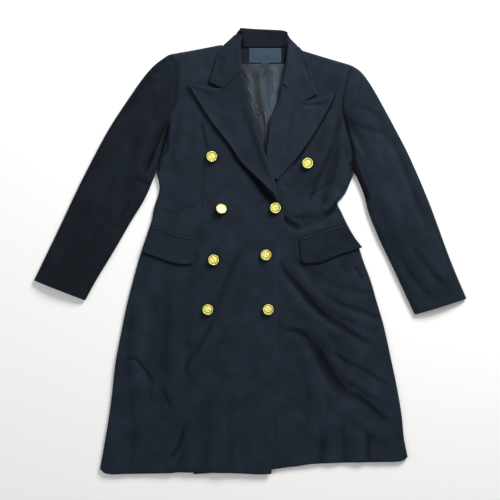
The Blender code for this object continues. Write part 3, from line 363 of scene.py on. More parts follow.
#     path, width_left, width_right, how much darker, crisp: painted shade under edges, in folds and
#     hollows, and over broad darker stretches
SHADES = {
    "right": [
        ([(-140, 372), (-127, 350), (-106, 315), (-70, 264), (-22, 198), (14, 164)], 7, 5, 0.7, 0.5),
        ([(-44, 236), (-10, 188), (12, 160), (34, 130), (50, 113), (66, 98)], 11, 13, 1.6, 0.1),
        ([(-98, 380), (-86, 370), (-57, 360)], 9, 7, 0.9, 0.2),
        ([(-184, 304), (-195, 246), (-208, 200), (-218, 160)], 12, 6, 1.0, 0.1),
        ([(-180, 290), (-184, 258), (-184, 232), (-194, 206)], 5, 6, 0.8, 0.3),
        ([(-120, 60), (-130, -200), (-120, -600)], 190, 160, 0.09, 0.0),
        ([(-180, -40), (-184, -160), (-188, -270), (-186, -350)], 13, 13, 0.17, 0.1),
        ([(-6, 26), (-34, -33), (-57, -84), (-84, -160)], 14, 11, 0.2, 0.1),
        ([(-72, -140), (-108, -206), (-131, -240), (-152, -284)], 5, 8, 0.34, 0.3),
        ([(-264, 1), (-243, -5), (-221, -12), (-195, -22), (-169, -30), (-144, -33), (-112, -30)],
         4, 5, 0.8, 0.2),
        ([(-244, 57), (-224, 54), (-203, 49), (-181, 41), (-158, 33), (-138, 30.5), (-112, 30)],
         4, 4, 0.55, 0.2),
    ],
    "left": [
        ([(186, 350), (182, 328), (162, 294), (147, 268), (131, 243), (96, 196)], 6, 8, 0.8, 0.4),
        ([(128, 238), (114, 214), (104, 200), (92, 188)], 6, 8, 0.9, 0.2),
        ([(190, 352), (181, 332), (168, 306)], 5, 9, 0.8, 0.2),
        ([(140, 60), (158, -110), (180, -330)], 110, 110, 0.14, 0.0),
        ([(172, 300), (166, 220), (160, 120)], 50, 50, 0.18, 0.0),
        ([(100, 328), (114, 334), (130, 341), (152, 350)], 9, 8, 0.9, 0.2),
        ([(174, 78), (181, 87), (190, 98), (201, 111)], 4, 4, 0.9, 0.5),
        ([(68, 80), (80, 71), (94, 62), (112, 56)], 9, 14, 0.6, 0.1),
        ([(208, 330), (216, 280), (228, 226), (232, 164)], 5, 7, 0.8, 0.3),
        ([(222, 202), (229, 186), (233, 168)], 9, 9, 0.85, 0.1),
        ([(209, 335), (196, 279), (183, 234), (161, 181), (136, 132)], 9, 10, 0.48, 0.2),
        ([(206, 262), (193, 196), (176, 136), (156, 84)], 8, 10, 0.4, 0.2),
        ([(138, -198), (152, -216), (172, -250), (192, -284), (222, -322)], 9, 9, 0.8, 0.2),
        ([(60, -14), (80, -47), (104, -76), (134, -112), (164, -142), (190, -160)], 7, 9, 0.5, 0.2),
        ([(48, -162), (76, -172), (102, -180), (134, -196)], 6, 9, 0.35, 0.2),
        ([(276, 16), (250, 6), (229, -2), (202, -10), (177, -20), (152, -29), (130, -31), (98, -27)],
         4, 5, 0.7, 0.2),
        ([(240, 69), (214, 60), (202, 56), (179, 49), (157, 42), (134, 35), (110, 28), (92, 23)],
         4, 4, 0.55, 0.2),
    ],
    "sleeve_right": [
        ([(-184, 306), (-194, 272), (-208, 238), (-222, 200), (-238, 164)], 4, 7, 0.9, 0.5),
        ([(-214, 232), (-222, 208), (-232, 184), (-240, 168)], 4, 4, 0.8, 0.3),
        ([(-310, 110), (-380, -10), (-480, -190)], 70, 70, 0.24, 0.0),
    ],
    "sleeve_left": [
        ([(208, 330), (217, 280), (230, 226), (238, 176), (256, 136), (272, 96)], 10, 8, 0.9, 0.2),
        ([(230, 200), (240, 168), (254, 138), (268, 104)], 13, 10, 0.8, 0.1),
        ([(300, 110), (380, -10), (470, -190)], 70, 70, 0.22, 0.0),
        ([(227, 204), (235, 186), (246, 164)], 10, 8, 0.85, 0.1),
    ],
    "stand": [
        ([(33, 473), (44, 479), (55, 483), (70, 489)], 5, 5, 0.35, 0.2),
        ([(38, 492), (46, 487), (52, 476)], 4, 4, 0.3, 0.2),
        ([(-6, 480), (6, 476), (20, 478)], 5, 5, 0.14, 0.0),
    ],
    "lining": [
        ([(-34, 404), (4, 402), (44, 404), (92, 408)], 30, 30, 0.34, 0.0),
        ([(10, 414), (15, 386), (19, 348), (25, 312), (30, 290)], 11, 11, 0.7, 0.0),
        ([(8, 316), (14, 290), (22, 256), (32, 200)], 13, 11, 0.5, 0.0),
        ([(-26, 470), (-16, 396), (-2, 346), (14, 270), (24, 180)], 32, 34, 0.44, 0.0),
        ([(-14, 428), (-5, 413), (4, 398)], 7, 6, 0.45, 0.2),
        ([(40, 410), (33, 399), (26, 386)], 4, 4, 0.5, 0.3),
        ([(78, 420), (74, 380), (62, 336), (52, 300)], 9, 6, 0.4, 0.1),
        ([(4, 330), (16, 316), (26, 322)], 7, 6, 0.4, 0.2),
    ],
}

# %% [markdown]
# ## Curves
#
# A seam runs smoothly through the places in its table. A Catmull-Rom curve does that with no
# handles to set, and reading it at even lengths keeps the cells of a grid alike in size. By a
# pressed edge the grid is closer, so that the edge can turn down.

# %% Curve helpers
def ease(value):
    """A smooth step from 0 to 1: three squares less two cubes of the clipped value."""
    value = np.clip(value, 0.0, 1.0)
    return value * value * (3 - 2 * value)


def smooth_curve(rows):
    """A Catmull-Rom curve through the rows, and the share of its length at each point."""
    rows = np.asarray(rows, dtype=float)
    padded = np.vstack([2 * rows[0] - rows[1], rows, 2 * rows[-1] - rows[-2]])
    place = np.linspace(0, len(rows) - 1, 40 * len(rows))
    index = np.minimum(place.astype(int), len(rows) - 2)
    t = (place - index)[:, None]
    before, start, end, after = (padded[index + k] for k in range(4))
    curve = 0.5 * (2 * start + (end - before) * t
                   + (2 * before - 5 * start + 4 * end - after) * t ** 2
                   + (3 * start - before - 3 * end + after) * t ** 3)
    steps = np.linalg.norm(np.diff(curve[:, :2], axis=0), axis=1)
    return curve, np.concatenate([[0.0], np.cumsum(steps)])


def through(rows, shares):
    """Points of the smooth curve at the given shares of its length."""
    curve, length = smooth_curve(rows)
    return np.column_stack([np.interp(np.asarray(shares) * length[-1], length, c) for c in curve.T])


def close_by_edges(lengths, count, at_start=False, at_end=False):
    """Shares across each row: even steps, with the pressed edge's steps at either end."""
    lengths = np.atleast_1d(np.asarray(lengths, dtype=float))[:, None]
    start = (EDGE_STEPS if at_start else EDGE_STEPS[:1]) / lengths
    end = 1 - (EDGE_STEPS if at_end else EDGE_STEPS[:1])[::-1] / lengths
    even = start[:, -1:] + (end[:, :1] - start[:, -1:]) * np.linspace(0, 1, count)[1:-1]
    return np.concatenate([start, even, end], axis=1)


def laid_rows(rows, at_start=False, at_end=False, step=STEP):
    """Rows of a table read at even steps along its curve, closer by a pressed edge."""
    length = smooth_curve(rows)[1][-1]
    shares = close_by_edges(length, max(int(length / step), 3), at_start, at_end)[0]
    return through(rows, shares)


def directions(steps):
    """Steps made one long."""
    return steps / np.maximum(np.linalg.norm(steps, axis=-1, keepdims=True), 1e-9)


def between(start, end, share):
    """Straight rows: the points at the shares of the way from each start to its end."""
    return start[:, None] + (end - start)[:, None] * share[..., None]


def run_length(points):
    """Length walked along a chain of points, from 0."""
    steps = np.linalg.norm(np.diff(points, axis=0), axis=1)
    return np.concatenate([[0.0], np.cumsum(steps)])


def pressed(distance, drop=EDGE_DROP, width=EDGE_WIDTH):
    """How far a wall sinks by its pressed edge: a quarter of an ellipse over the edge's width."""
    inside = np.clip(1 - distance / width, 0, 1)
    return drop * (1 - np.sqrt(1 - inside ** 2))


# %% [markdown]
# ## The height of the cloth
#
# Every panel's height is a sum: where it rests, the swell of a shoulder pad or the bust, its
# folds, and a slow unevenness that no pressing takes out. What lies on a panel reads the same
# sum, so a lapel follows the chest beneath it.

# %% Height helpers
FOLD_SAMPLES = 70
FOLD_FADE = 0.22
#           wave_x wave_y length height
UNEVEN = [(0.9, 0.4, 97.0, 0.34), (-0.5, 0.85, 71.0, 0.28), (0.3, -0.95, 128.0, 0.40),
          (0.98, -0.2, 53.0, 0.16), (0.6, 0.8, 41.0, 0.12)]


def fold_relief(folds, x, y):
    """Sum of folds: height times a bell across the path times a fade towards its ends."""
    total = np.zeros(x.shape)
    for points, left, right, height, crisp in folds:
        path = through(points, np.linspace(0, 1, FOLD_SAMPLES))
        reach = max(left, right)
        near = ((x > path[:, 0].min() - reach) & (x < path[:, 0].max() + reach)
                & (y > path[:, 1].min() - reach) & (y < path[:, 1].max() + reach))
        spots = np.column_stack([x[near], y[near]])
        if not len(spots):
            continue
        nearest = ((spots[:, None] - path) ** 2).sum(axis=-1).argmin(axis=1)
        heading = directions(np.gradient(path, axis=0))[nearest]
        offset = spots - path[nearest]
        aside = heading[:, 0] * offset[:, 1] - heading[:, 1] * offset[:, 0]
        ahead = (heading * offset).sum(axis=1)
        step = run_length(path)[-1] / (FOLD_SAMPLES - 1)
        beyond = np.maximum(np.abs(ahead) - step, 0)
        across = np.clip(np.hypot(aside, beyond) / np.where(aside > 0, left, right), 0, 1)
        along = np.clip((nearest + ahead / step) / (FOLD_SAMPLES - 1), 0, 1)
        bell = (1 - crisp) * (1 - across ** 2) ** 2 + crisp * (1 - across) ** 2
        total[near] += height * bell * ease(np.minimum(along, 1 - along) / FOLD_FADE)
    return total


def kept_light(part, x, y):
    """How bright a part's cloth stays under its painted shades: 1 less their sum, down to the deepest
    one.
    """
    return 1 - np.clip(fold_relief(SHADES[part], x, y), 0, DEEPEST_SHADE)


def by_buttons(side, x, y):
    """Painted shade round the buttons: a darker ring of wool beside their rims."""
    rows = BUTTONS if side == "right" else [LEFT_BUTTON]
    nearest = np.min([np.hypot(x - row[0], y - row[1]) for row in rows], axis=0)
    return 1 - RING_SHADE * ease((BUTTON_RADIUS + RING_REACH - nearest) / RING_REACH)


def swell_relief(swells, x, y):
    """Sum of round swellings: height times a Gauss bell about each centre."""
    total = np.zeros(x.shape)
    for centre_x, centre_y, reach_x, reach_y, height in swells:
        total += height * np.exp(-((x - centre_x) / reach_x) ** 2 - ((y - centre_y) / reach_y) ** 2)
    return total


def unevenness(x, y):
    """Slow waves in four directions."""
    return sum(h * np.sin(math.tau * (a * x + b * y) / length) for a, b, length, h in UNEVEN)


EDGE_CURVE = {side: through(FRONT_EDGE[side], np.linspace(0, 1, 400))[::-1] for side in FRONT_EDGE}


def edge_x(side, y):
    """The front's edge, or its roll line, at a height up the coat."""
    return np.interp(y, EDGE_CURVE[side][:, 0], EDGE_CURVE[side][:, 1])


def front_height(side, x, y):
    """Height of the middle of a front's wall: its rest, raised or sunk where the fronts overlap."""
    relief = swell_relief(SWELLS[side], x, y) + fold_relief(FOLDS[side], x, y) + unevenness(x, y)
    relief = np.where(relief < 0, DEEPEST * np.tanh(relief / DEEPEST), relief)
    if side == "left":
        covered = ease((edge_x("right", y) + COVER_REACH - x - COVER_BACK) / COVER_EASE)
        return covered * UNDER_REST + (1 - covered) * (BODY_REST + relief)
    covered = ease((x - edge_x("left", y) + COVER_REACH) / COVER_EASE)
    covered = covered * ease((OVERLAP_TOP - y) / OVERLAP_EASE)
    relief = np.where(relief < 0, relief * (1 - COVER_STIFF * covered), relief)
    return BODY_REST + covered * (OVERLAP_REST - BODY_REST) + relief


def height_beneath(side, flat, reach):
    """Highest height of a front within reach of each place, read there and at eight places round."""
    around = [(0.0, 0.0)] + [(math.cos(a), math.sin(a)) for a in np.arange(8) * math.tau / 8]
    x, y = flat[..., 0], flat[..., 1]
    return np.max([front_height(side, x + reach * a, y + reach * b) for a, b in around], axis=0)


# %% [markdown]
# ## Cloth as a wall
#
# A sheet with no thickness looks like paper at its edges. Here each grid of middle points is
# moved half a thickness to both sides along its own normal, and a strip closes the border, so
# every panel is one closed wall. Grids that share points, such as a panel and its rolled edge,
# are sewn together by those points. Solidify would do this too, but the arrays also give the
# cut's true area.

# %% Wall helper
TONE_SPREAD = 3         # a fold is told from the cloth round it over this many cells
CREASE_GAIN = 0.55      # how much painted shade each millimetre below it puts on the colour, and painted highlight each one above
RIDGE_GAIN = 0.12
TONE_RANGE = (0.3, 1.25)
LEVEL = 0.99            # a wall whose facing rises more than this lies level
JOIN_WITHIN = 0.002     # points of two grids that are this near are one point


def blurred(grid):
    """The grid's running mean, weighted by a Gauss bell along both axes."""
    bell = np.exp(-(np.arange(-2 * TONE_SPREAD, 2 * TONE_SPREAD + 1) / TONE_SPREAD) ** 2)
    for axis in (0, 1):
        grid = np.apply_along_axis(np.convolve, axis, grid, bell, mode="same")
    return grid


def relief_painted_light(middle, facing):
    """Painted light of each point by its height above the cloth round it: painted shade in a crease,
    painted highlight on a ridge.
    """
    lies = (facing[..., 2] > LEVEL).astype(float)
    if min(lies.shape) < 4 * TONE_SPREAD + 1:
        return np.ones(lies.shape)
    mean = blurred(middle[..., 2] * lies) / np.maximum(blurred(lies), 1e-6)
    above = (middle[..., 2] - mean) * lies
    return np.clip(1 + above * np.where(above < 0, CREASE_GAIN, RIDGE_GAIN), *TONE_RANGE)


def cloth_wall(name, patches, thickness, finish, grain=0.0):
    """A closed wall about the middles: quads of the kept cells on both skins and a border strip.

    A patch is (middle, facing, kept, light): a grid of points, which way each faces, which of
    its cells are kept, and the painted shade that darkens it. UVs are the flat place in metres,
    turned by the grain.
    """
    painted_light = np.concatenate([(relief_painted_light(middle, facing) * light).ravel()
                           for middle, facing, kept, light in patches])
    points = np.concatenate([patch[0].reshape(-1, 3) for patch in patches])
    cells, first_point = [], 0
    for middle, facing, kept, light in patches:
        rows, columns = middle.shape[:2]
        index = first_point + np.arange(rows * columns).reshape(rows, columns)
        ring = np.stack([index[:-1, :-1], index[1:, :-1], index[1:, 1:], index[:-1, 1:]], axis=-1)
        outward = np.cross(middle[1:, 1:] - middle[:-1, :-1], middle[:-1, 1:] - middle[1:, :-1])
        agrees = np.sum(outward * facing[:-1, :-1]) > 0
        cells.append(ring[kept] if agrees else ring[kept][:, ::-1])
        first_point += rows * columns
    keys = np.round(points / JOIN_WITHIN).astype(np.int64)
    first, joined = np.unique(keys, axis=0, return_index=True, return_inverse=True)[1:]
    cells = joined.reshape(-1)[np.concatenate(cells)]
    used, cells = np.unique(cells, return_inverse=True)
    cells = cells.reshape(-1, 4)
    middle = points[first][used]
    corner = middle[cells]
    outward = np.cross(corner[:, 2] - corner[:, 0], corner[:, 3] - corner[:, 1])
    normal = np.zeros_like(middle)
    for k in range(4):
        np.add.at(normal, cells[:, k], outward)
    normal = directions(normal)
    count = len(middle)
    edges = np.concatenate([cells[:, [k, (k + 1) % 4]] for k in range(4)])
    code, back = edges[:, 0] * count + edges[:, 1], edges[:, 1] * count + edges[:, 0]
    border = edges[~np.isin(code, back)]
    strip = np.column_stack([border[:, 1], border[:, 0], border[:, 0] + count, border[:, 1] + count])
    faces = np.concatenate([cells, cells[:, ::-1] + count, strip])
    half = normal * thickness / 2
    vertices = np.concatenate([middle + half, middle - half])
    turn = np.array([[math.cos(grain), -math.sin(grain)], [math.sin(grain), math.cos(grain)]])
    piece = add_mesh(name, vertices, faces, finish, uv=(vertices[:, :2] @ turn.T * MM)[faces.ravel()],
                     painted_light=np.tile(painted_light[first][used], 2))
    area = np.linalg.norm(outward, axis=1).sum() / 2 * MM ** 2
    print(f"{name}: {2 * len(faces)} triangles, {area:.4f} square metres of cloth")
    return piece, area


def put_in_scene(name, data):
    """An object at the origin that shows a mesh, a lamp or a camera."""
    shown = bpy.data.objects.new(name, data)
    bpy.context.scene.collection.objects.link(shown)
    return shown


def add_mesh(name, vertices, faces, finish, uv=None, sharp=60, painted_light=1.0):
    """A named object from vertices in millimetres and faces of four corners.

    The painted light of each vertex, its painted shade and highlight, is kept with the mesh, where the
    finish reads it.
    """
    mesh = bpy.data.meshes.new(name)
    mesh.vertices.add(len(vertices))
    mesh.vertices.foreach_set("co", (vertices * MM).astype(np.float32).ravel())
    mesh.loops.add(faces.size)
    mesh.loops.foreach_set("vertex_index", faces.astype(np.int32).ravel())
    mesh.polygons.add(len(faces))
    mesh.polygons.foreach_set("loop_start", np.arange(0, faces.size, 4, dtype=np.int32))
    mesh.update(calc_edges=True)
    if uv is not None:
        layer = mesh.uv_layers.new(name="cloth")
        layer.data.foreach_set("uv", uv.astype(np.float32).ravel())
    shade = mesh.attributes.new("painted_light", "FLOAT", "POINT")
    shade.data.foreach_set("value", np.broadcast_to(painted_light, len(vertices)).astype(np.float32))
    mesh.validate()
    mesh.shade_smooth()
    mesh.set_sharp_from_angle(angle=math.radians(sharp))
    mesh.materials.append(finish)
    return put_in_scene(name, mesh)


def up(grid):
    """Facing of a wall that lies level."""
    return np.broadcast_to(np.array([0.0, 0.0, 1.0]), grid.shape)


def every(grid):
    """All the cells of a grid."""
    return np.ones((grid.shape[0] - 1, grid.shape[1] - 1), dtype=bool)


def level(sheet, light=1.0):
    """The patch of a whole sheet that lies level."""
    return sheet, up(sheet), every(sheet), light


def rolled(outline, inward, top, bottom, depth, strip=STRIP):
    """A rolled edge: half an ellipse from the floor up to the level sheet, after a flat strip.

    outline and inward are the edge's places and level directions, and the ellipse is depth
    deep and as high as the step from bottom to top.
    """
    depth = np.broadcast_to(depth, len(outline))
    bottom = np.broadcast_to(bottom, len(outline))
    centre = outline + inward * (depth + WOOL / 2)[:, None]
    half = (top - bottom) / 2
    places, heights, facings = [], [], []
    if strip:
        places.append(centre + inward * strip)
        heights.append(bottom)
        facings.append((0.0, -1.0))
    for angle in ROLL_ANGLES:
        places.append(centre - inward * (depth * math.sin(angle))[:, None])
        heights.append((top + bottom) / 2 + half * math.cos(angle))
        facings.append((math.sin(angle), math.cos(angle)))
    middle = np.stack([np.column_stack([p, h]) for p, h in zip(places, heights)], axis=1)
    facing = np.stack([np.column_stack([-inward * out, np.full(len(outline), rise)])
                       for out, rise in facings], axis=1)
    return middle, facing


def joined_to(roll, roll_facing, edge):
    """A rolled edge with the level sheet's own edge added as its last column."""
    return (np.concatenate([roll, edge[:, None]], axis=1),
            np.concatenate([roll_facing, up(edge)[:, None]], axis=1))


# %% [markdown]
# ## Finishes
#
# The coat is wool with a close felted nap over a fine twill. What the eye gets is a very dark
# blue that never shines, a faint bloom of light where the surface turns away, and small
# uneven patches where the nap lies differently. Colours are picked as sRGB hex values, and
# one function turns them to the linear values that a shader wants.

# %% Node helpers
def linear(colour):
    """An sRGB hex colour as linear red, green, blue and alpha."""
    value = np.array([int(colour[k:k + 2], 16) for k in (1, 3, 5)]) / 255
    value = np.where(value <= 0.04045, value / 12.92, ((value + 0.055) / 1.055) ** 2.4)
    return (*value.tolist(), 1.0)


def add(tree, kind, inputs=None, **settings):
    """Adds one node, sets its properties, and fills its inputs with values or links."""
    made = tree.nodes.new(kind)
    for key, value in settings.items():
        setattr(made, key, value)
    for key, value in (inputs or {}).items():
        if isinstance(value, bpy.types.NodeSocket):
            tree.links.new(value, made.inputs[key])
        else:
            made.inputs[key].default_value = value
    return made


def new_finish(name):
    """An empty material with its node tree and shader."""
    finish = bpy.data.materials.new(name)
    finish.use_nodes = True
    return finish, finish.node_tree, finish.node_tree.nodes["Principled BSDF"]


def set_shader(tree, shader, **inputs):
    """Sets the shader's own sockets, whose names are written with _ for a space."""
    for key, value in inputs.items():
        socket = shader.inputs[key.replace("_", " ").title().replace("Ior", "IOR")]
        if isinstance(value, bpy.types.NodeSocket):
            tree.links.new(value, socket)
        else:
            socket.default_value = value


# %% Wool melton
NAP = 0.0011            # spacing of the felted nap
TWILL = 0.0014          # diagonal of the weave, drawn twice as coarse as it is so that it shows
PATCH = 0.045           # size of the patches where the nap lies differently


def wool_finish(name, colour, shade, relief):
    """Navy melton: matt, with a faint twill, a short nap and uneven colour.

    The painted light that each point carries puts painted shade in a crease and a painted
    highlight on a fold.
    """
    finish, tree, shader = new_finish(name)
    uv = add(tree, "ShaderNodeTexCoord").outputs["UV"]
    patches = add(tree, "ShaderNodeTexNoise", {"Vector": uv, "Scale": 1 / PATCH, "Detail": 4.0,
                                               "Roughness": 0.6})
    nap = add(tree, "ShaderNodeTexNoise", {"Vector": uv, "Scale": 1 / NAP, "Detail": 2.0})
    twill = add(tree, "ShaderNodeTexWave", {"Vector": uv, "Scale": 0.5 / TWILL, "Distortion": 0.6,
                                            "Detail": 1.0}, bands_direction="DIAGONAL")
    mottle = add(tree, "ShaderNodeMapRange", {"Value": patches.outputs["Fac"], "From Min": 0.3,
                                              "From Max": 0.7})
    tint = add(tree, "ShaderNodeMix", {"Factor": mottle.outputs["Result"], "A": linear(shade),
                                       "B": linear(colour)}, data_type="RGBA")
    speck = add(tree, "ShaderNodeMapRange", {"Value": nap.outputs["Fac"], "To Min": 0.82,
                                             "To Max": 1.18})
    painted_light_node = add(tree, "ShaderNodeAttribute", attribute_name="painted_light")
    bright = add(tree, "ShaderNodeMath", {0: speck.outputs["Result"], 1: painted_light_node.outputs["Fac"]},
                 operation="MULTIPLY")
    nap_and_painted_light = add(tree, "ShaderNodeVectorMath", {0: tint.outputs["Result"],
                                                "Scale": bright.outputs["Value"]}, operation="SCALE")
    weave = add(tree, "ShaderNodeMath", {0: twill.outputs["Fac"], 1: nap.outputs["Fac"]})
    bump = add(tree, "ShaderNodeBump", {"Height": weave.outputs["Value"], "Strength": relief,
                                        "Distance": 0.0004})
    set_shader(tree, shader, base_color=nap_and_painted_light.outputs["Vector"], roughness=0.85,
               specular_ior_level=0.14, sheen_weight=0.05, sheen_roughness=0.4,
               sheen_tint=linear("#7f8da6"), normal=bump.outputs["Normal"])
    return finish


navy_wool = wool_finish("navy_melton", "#1e2834", "#161e27", 0.5)
# A darker copy of the melton: painted shade on the right sleeve and the neck facing.
painted_shade_wool = wool_finish("navy_melton_painted_shade", "#151d26", "#10161d", 0.5)
pressed_wool = wool_finish("navy_melton_pressed", "#202935", "#1a222c", 0.4)

# %% [markdown]
# The lining is a slate satin. Its long floats lie one way, so it is smooth enough to show soft
# streaks of light along each crumple, and the label is a plain woven ribbon with a border.

# %% Satin and ribbon
SATIN_RIB = 0.0012


def satin_finish(name, colour, shade, roughness, rib, rib_height):
    """A smooth woven finish: fine ribs one way, a slow change of colour, and the painted shade and
    highlight that each point carries.
    """
    finish, tree, shader = new_finish(name)
    uv = add(tree, "ShaderNodeTexCoord").outputs["UV"]
    clouds = add(tree, "ShaderNodeTexNoise", {"Vector": uv, "Scale": 60.0, "Detail": 3.0})
    ribs = add(tree, "ShaderNodeTexWave", {"Vector": uv, "Scale": 0.5 / rib, "Distortion": 0.3})
    tint = add(tree, "ShaderNodeMix", {"Factor": clouds.outputs["Fac"], "A": linear(shade),
                                       "B": linear(colour)}, data_type="RGBA")
    satin_painted_light = add(tree, "ShaderNodeAttribute", attribute_name="painted_light")
    toned = add(tree, "ShaderNodeVectorMath", {0: tint.outputs["Result"],
                                               "Scale": satin_painted_light.outputs["Fac"]}, operation="SCALE")
    bump = add(tree, "ShaderNodeBump", {"Height": ribs.outputs["Fac"], "Strength": 0.3,
                                        "Distance": rib_height})
    set_shader(tree, shader, base_color=toned.outputs["Vector"], roughness=roughness,
               specular_ior_level=0.35, sheen_weight=0.05, normal=bump.outputs["Normal"])
    return finish


slate_satin = satin_finish("slate_satin", "#3a4653", "#262f39", 0.66, SATIN_RIB, 0.0001)
ribbon = satin_finish("woven_ribbon", "#1f3d50", "#1a3040", 0.6, 0.0016, 0.0003)
dark_ribbon = satin_finish("woven_ribbon_dark", "#1f2c38", "#18222c", 0.6, 0.0016, 0.0003)
stitch_thread = satin_finish("stitch_thread", "#7d8b98", "#66737f", 0.6, 0.0008, 0.0002)
lapel_thread = satin_finish("buttonhole_thread", "#303a47", "#27303b", 0.7, 0.0008, 0.0002)

# %% [markdown]
# The buttons are gilt brass: bright yellow, polished on what stands up and duller in the
# hollows where the lacquer gathers. Painted shade browns those hollows, the rim's flanks and the
# underside.

# %% Gilt brass
def brass_finish(name):
    """Gilt brass: bright on what stands up, duller in the hollows of its relief, and browned there by
    painted shade.
    """
    finish, tree, shader = new_finish(name)
    place = add(tree, "ShaderNodeTexCoord").outputs["Object"]
    wear = add(tree, "ShaderNodeTexNoise", {"Vector": place, "Scale": 700.0, "Detail": 3.0})
    # The painted light turns the colour towards brown as painted shade, and the metal is rougher where
    # it is low.
    raised = add(tree, "ShaderNodeAttribute", attribute_name="painted_light")
    rough = add(tree, "ShaderNodeMapRange", {"Value": raised.outputs["Fac"], "To Min": 0.6,
                                             "To Max": 0.38})
    gold = add(tree, "ShaderNodeMix", {"Factor": wear.outputs["Fac"], "A": linear("#f0e462"),
                                       "B": linear("#fffdaa")}, data_type="RGBA")
    tint = add(tree, "ShaderNodeMix", {"Factor": raised.outputs["Fac"], "A": linear("#4a3d12"),
                                       "B": gold.outputs["Result"]}, data_type="RGBA")
    set_shader(tree, shader, base_color=tint.outputs["Result"], metallic=1.0,
               roughness=rough.outputs["Result"])
    return finish


gilt = brass_finish("gilt_brass")


# %% [markdown]
# ## Sewing a panel into the coat
#
# Each finished panel rides on the coat's one body and stands for its solid.

# %% Sewing helper
def sew_in(piece, node):
    """Rides a panel on the coat's one body and hides the solid that it replaces."""
    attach(piece, "root")
    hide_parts(node)


# %% [markdown]
# ## The fronts
#
# A front runs from the shoulder and the armhole down to the hem. Its rows go from the outer
# seam to the free edge, so the grid leans with the cut of the panel. The shoulder and the side
# roll under to the floor, where the back meets them.

# %% Front panels
FRONT_COLUMNS = 92
DRAW = 55.0             # a rolled edge draws the rows in over this width
INWARD_CELLS = 3        # a roll's inward direction is read over this many cells
NECK_RISE = {"right": 13.0, "left": 10.0}   # how high the shoulder's first row is humped, and where
NECK_RISE_AT = {"right": 0.76, "left": 0.86}
NECK_RISE_FADE = ([0, 27, 54, 81], [1, 0.5, 0.2, 0])    # distance down the coat, and what is left


def front_rows(side):
    """Outer and inner end of each cross-row, the armhole's row count, and the length down."""
    armhole = laid_rows(ARMHOLE[side])
    rows = np.vstack([armhole, laid_rows(SIDE[side], at_end=True)[1:]])
    outer = rows[:, :2].copy()
    step = np.gradient(armhole[:, :2], axis=0)
    toward = np.column_stack([-step[:, 1], step[:, 0]]) * SIGN[side]
    outer[:len(armhole)] += directions(toward) * SEAM / 2
    inset = LAPEL_TUCK * ease((rows[:, 2] - ROLL_END[side]) / TUCK_EASE)
    inner_x = edge_x(side, rows[:, 2]) - SIGN[side] * inset
    return outer, np.column_stack([inner_x, rows[:, 2]]), len(armhole), run_length(rows[:, :2])


def make_front(side):
    """A front: level sheet, rolled shoulder and rolled side, with its seams and edges pressed."""
    outer, inner, seam_rows, down = front_rows(side)
    width = np.linalg.norm(inner - outer, axis=1)
    share = close_by_edges(width, FRONT_COLUMNS, at_start=True, at_end=True)
    flat = between(outer, inner, share)
    highest = NECK_RISE_AT[side]
    hump = np.minimum(share / highest, (1 - share) / (1 - highest))
    flat[..., 1] += NECK_RISE[side] * np.interp(down, *NECK_RISE_FADE)[:, None] * hump
    hem_share, hem_drop = np.array(HEM[side]).T
    near_hem = ease(1 - (down[-1] - down) / HEM_REACH)[:, None]
    flat[..., 1] -= np.interp(share, hem_share, hem_drop) * near_hem
    armpit = seam_rows - 1
    shoulder_in = directions(flat[INWARD_CELLS] - flat[0])
    side_in = directions(flat[:, INWARD_CELLS] - flat[:, 0])
    shoulder_line, side_line = flat[0].copy(), flat[:, 0].copy()
    drawn = np.clip(1 - down / DRAW, 0, 1)[:, None, None]
    flat += shoulder_in * (SHOULDER_ROLL + WOOL / 2) * drawn
    drawn = np.clip(1 - share * width[:, None] / DRAW, 0, 1)[armpit:, :, None]
    flat[armpit:] += side_in[armpit:, None] * (SIDE_ROLL + WOOL / 2) * drawn

    top = front_height(side, flat[..., 0], flat[..., 1])
    free = flat[..., 1] < ROLL_END[side]
    top -= np.where(free, pressed((1 - share) * width[:, None]), 0)
    top -= pressed(down[-1] - down)[:, None]
    from_seam = (share * width[:, None])[:seam_rows]
    top[:seam_rows] -= SEAM_DIP * np.exp(-(from_seam / SEAM_WIDTH) ** 2)
    sheet = np.dstack([flat, top])
    shoulder = rolled(shoulder_line, shoulder_in, top[0], FLOOR_MID, SHOULDER_ROLL)
    shoulder = joined_to(*shoulder, sheet[0])
    seam = rolled(side_line[armpit:], side_in[armpit:], top[armpit:, 0], FLOOR_MID, SIDE_ROLL)
    seam = joined_to(*seam, sheet[armpit:, 0])
    outside = (SHOULDER_END[side] - shoulder_line[1:, 0]) * SIGN[side] > 0
    kept = every(shoulder[0]) & outside[:, None]
    place = flat.transpose(2, 0, 1)
    patches = [level(sheet, kept_light(side, *place) * by_buttons(side, *place)),
               (*shoulder, kept, 1.0), (*seam, every(seam[0]), 1.0)]
    piece, area = cloth_wall(f"{side}_front_panel", patches, WOOL, navy_wool)
    sew_in(piece, "front_" + side)
    return {"armhole": sheet[:seam_rows, 0], "strip": seam[0][:, 0]}


fronts = {side: make_front(side) for side in ("left", "right")}

# %% [markdown]
# ## The back and the sleeves
#
# The back lies flat beneath everything. A sleeve is two pieces: a top that rolls under along
# both its edges and a flat under piece between them. The top starts at the armhole with the
# seam's own curve, which straightens into the cuff.

# %% Back panel
BACK_CLEAR = 0.4        # gap between the back and what is turned under beside it
BACK_COLUMNS = 90
BACK_ROWS = 240
BACK_TOP_SHARE = 0.12   # the rows bend to the neck's and the hem's shape within these shares
BACK_HEM_FROM, BACK_HEM_SHARE = 0.93, 0.07
#                 x     y: the back's top edge, beneath the shoulders and the neck
BACK_SHOULDER = [(-165, 408), (-100, 437), (-66, 446), (-58, 458), (104, 458), (114, 438),
                 (150, 426), (212, 400)]


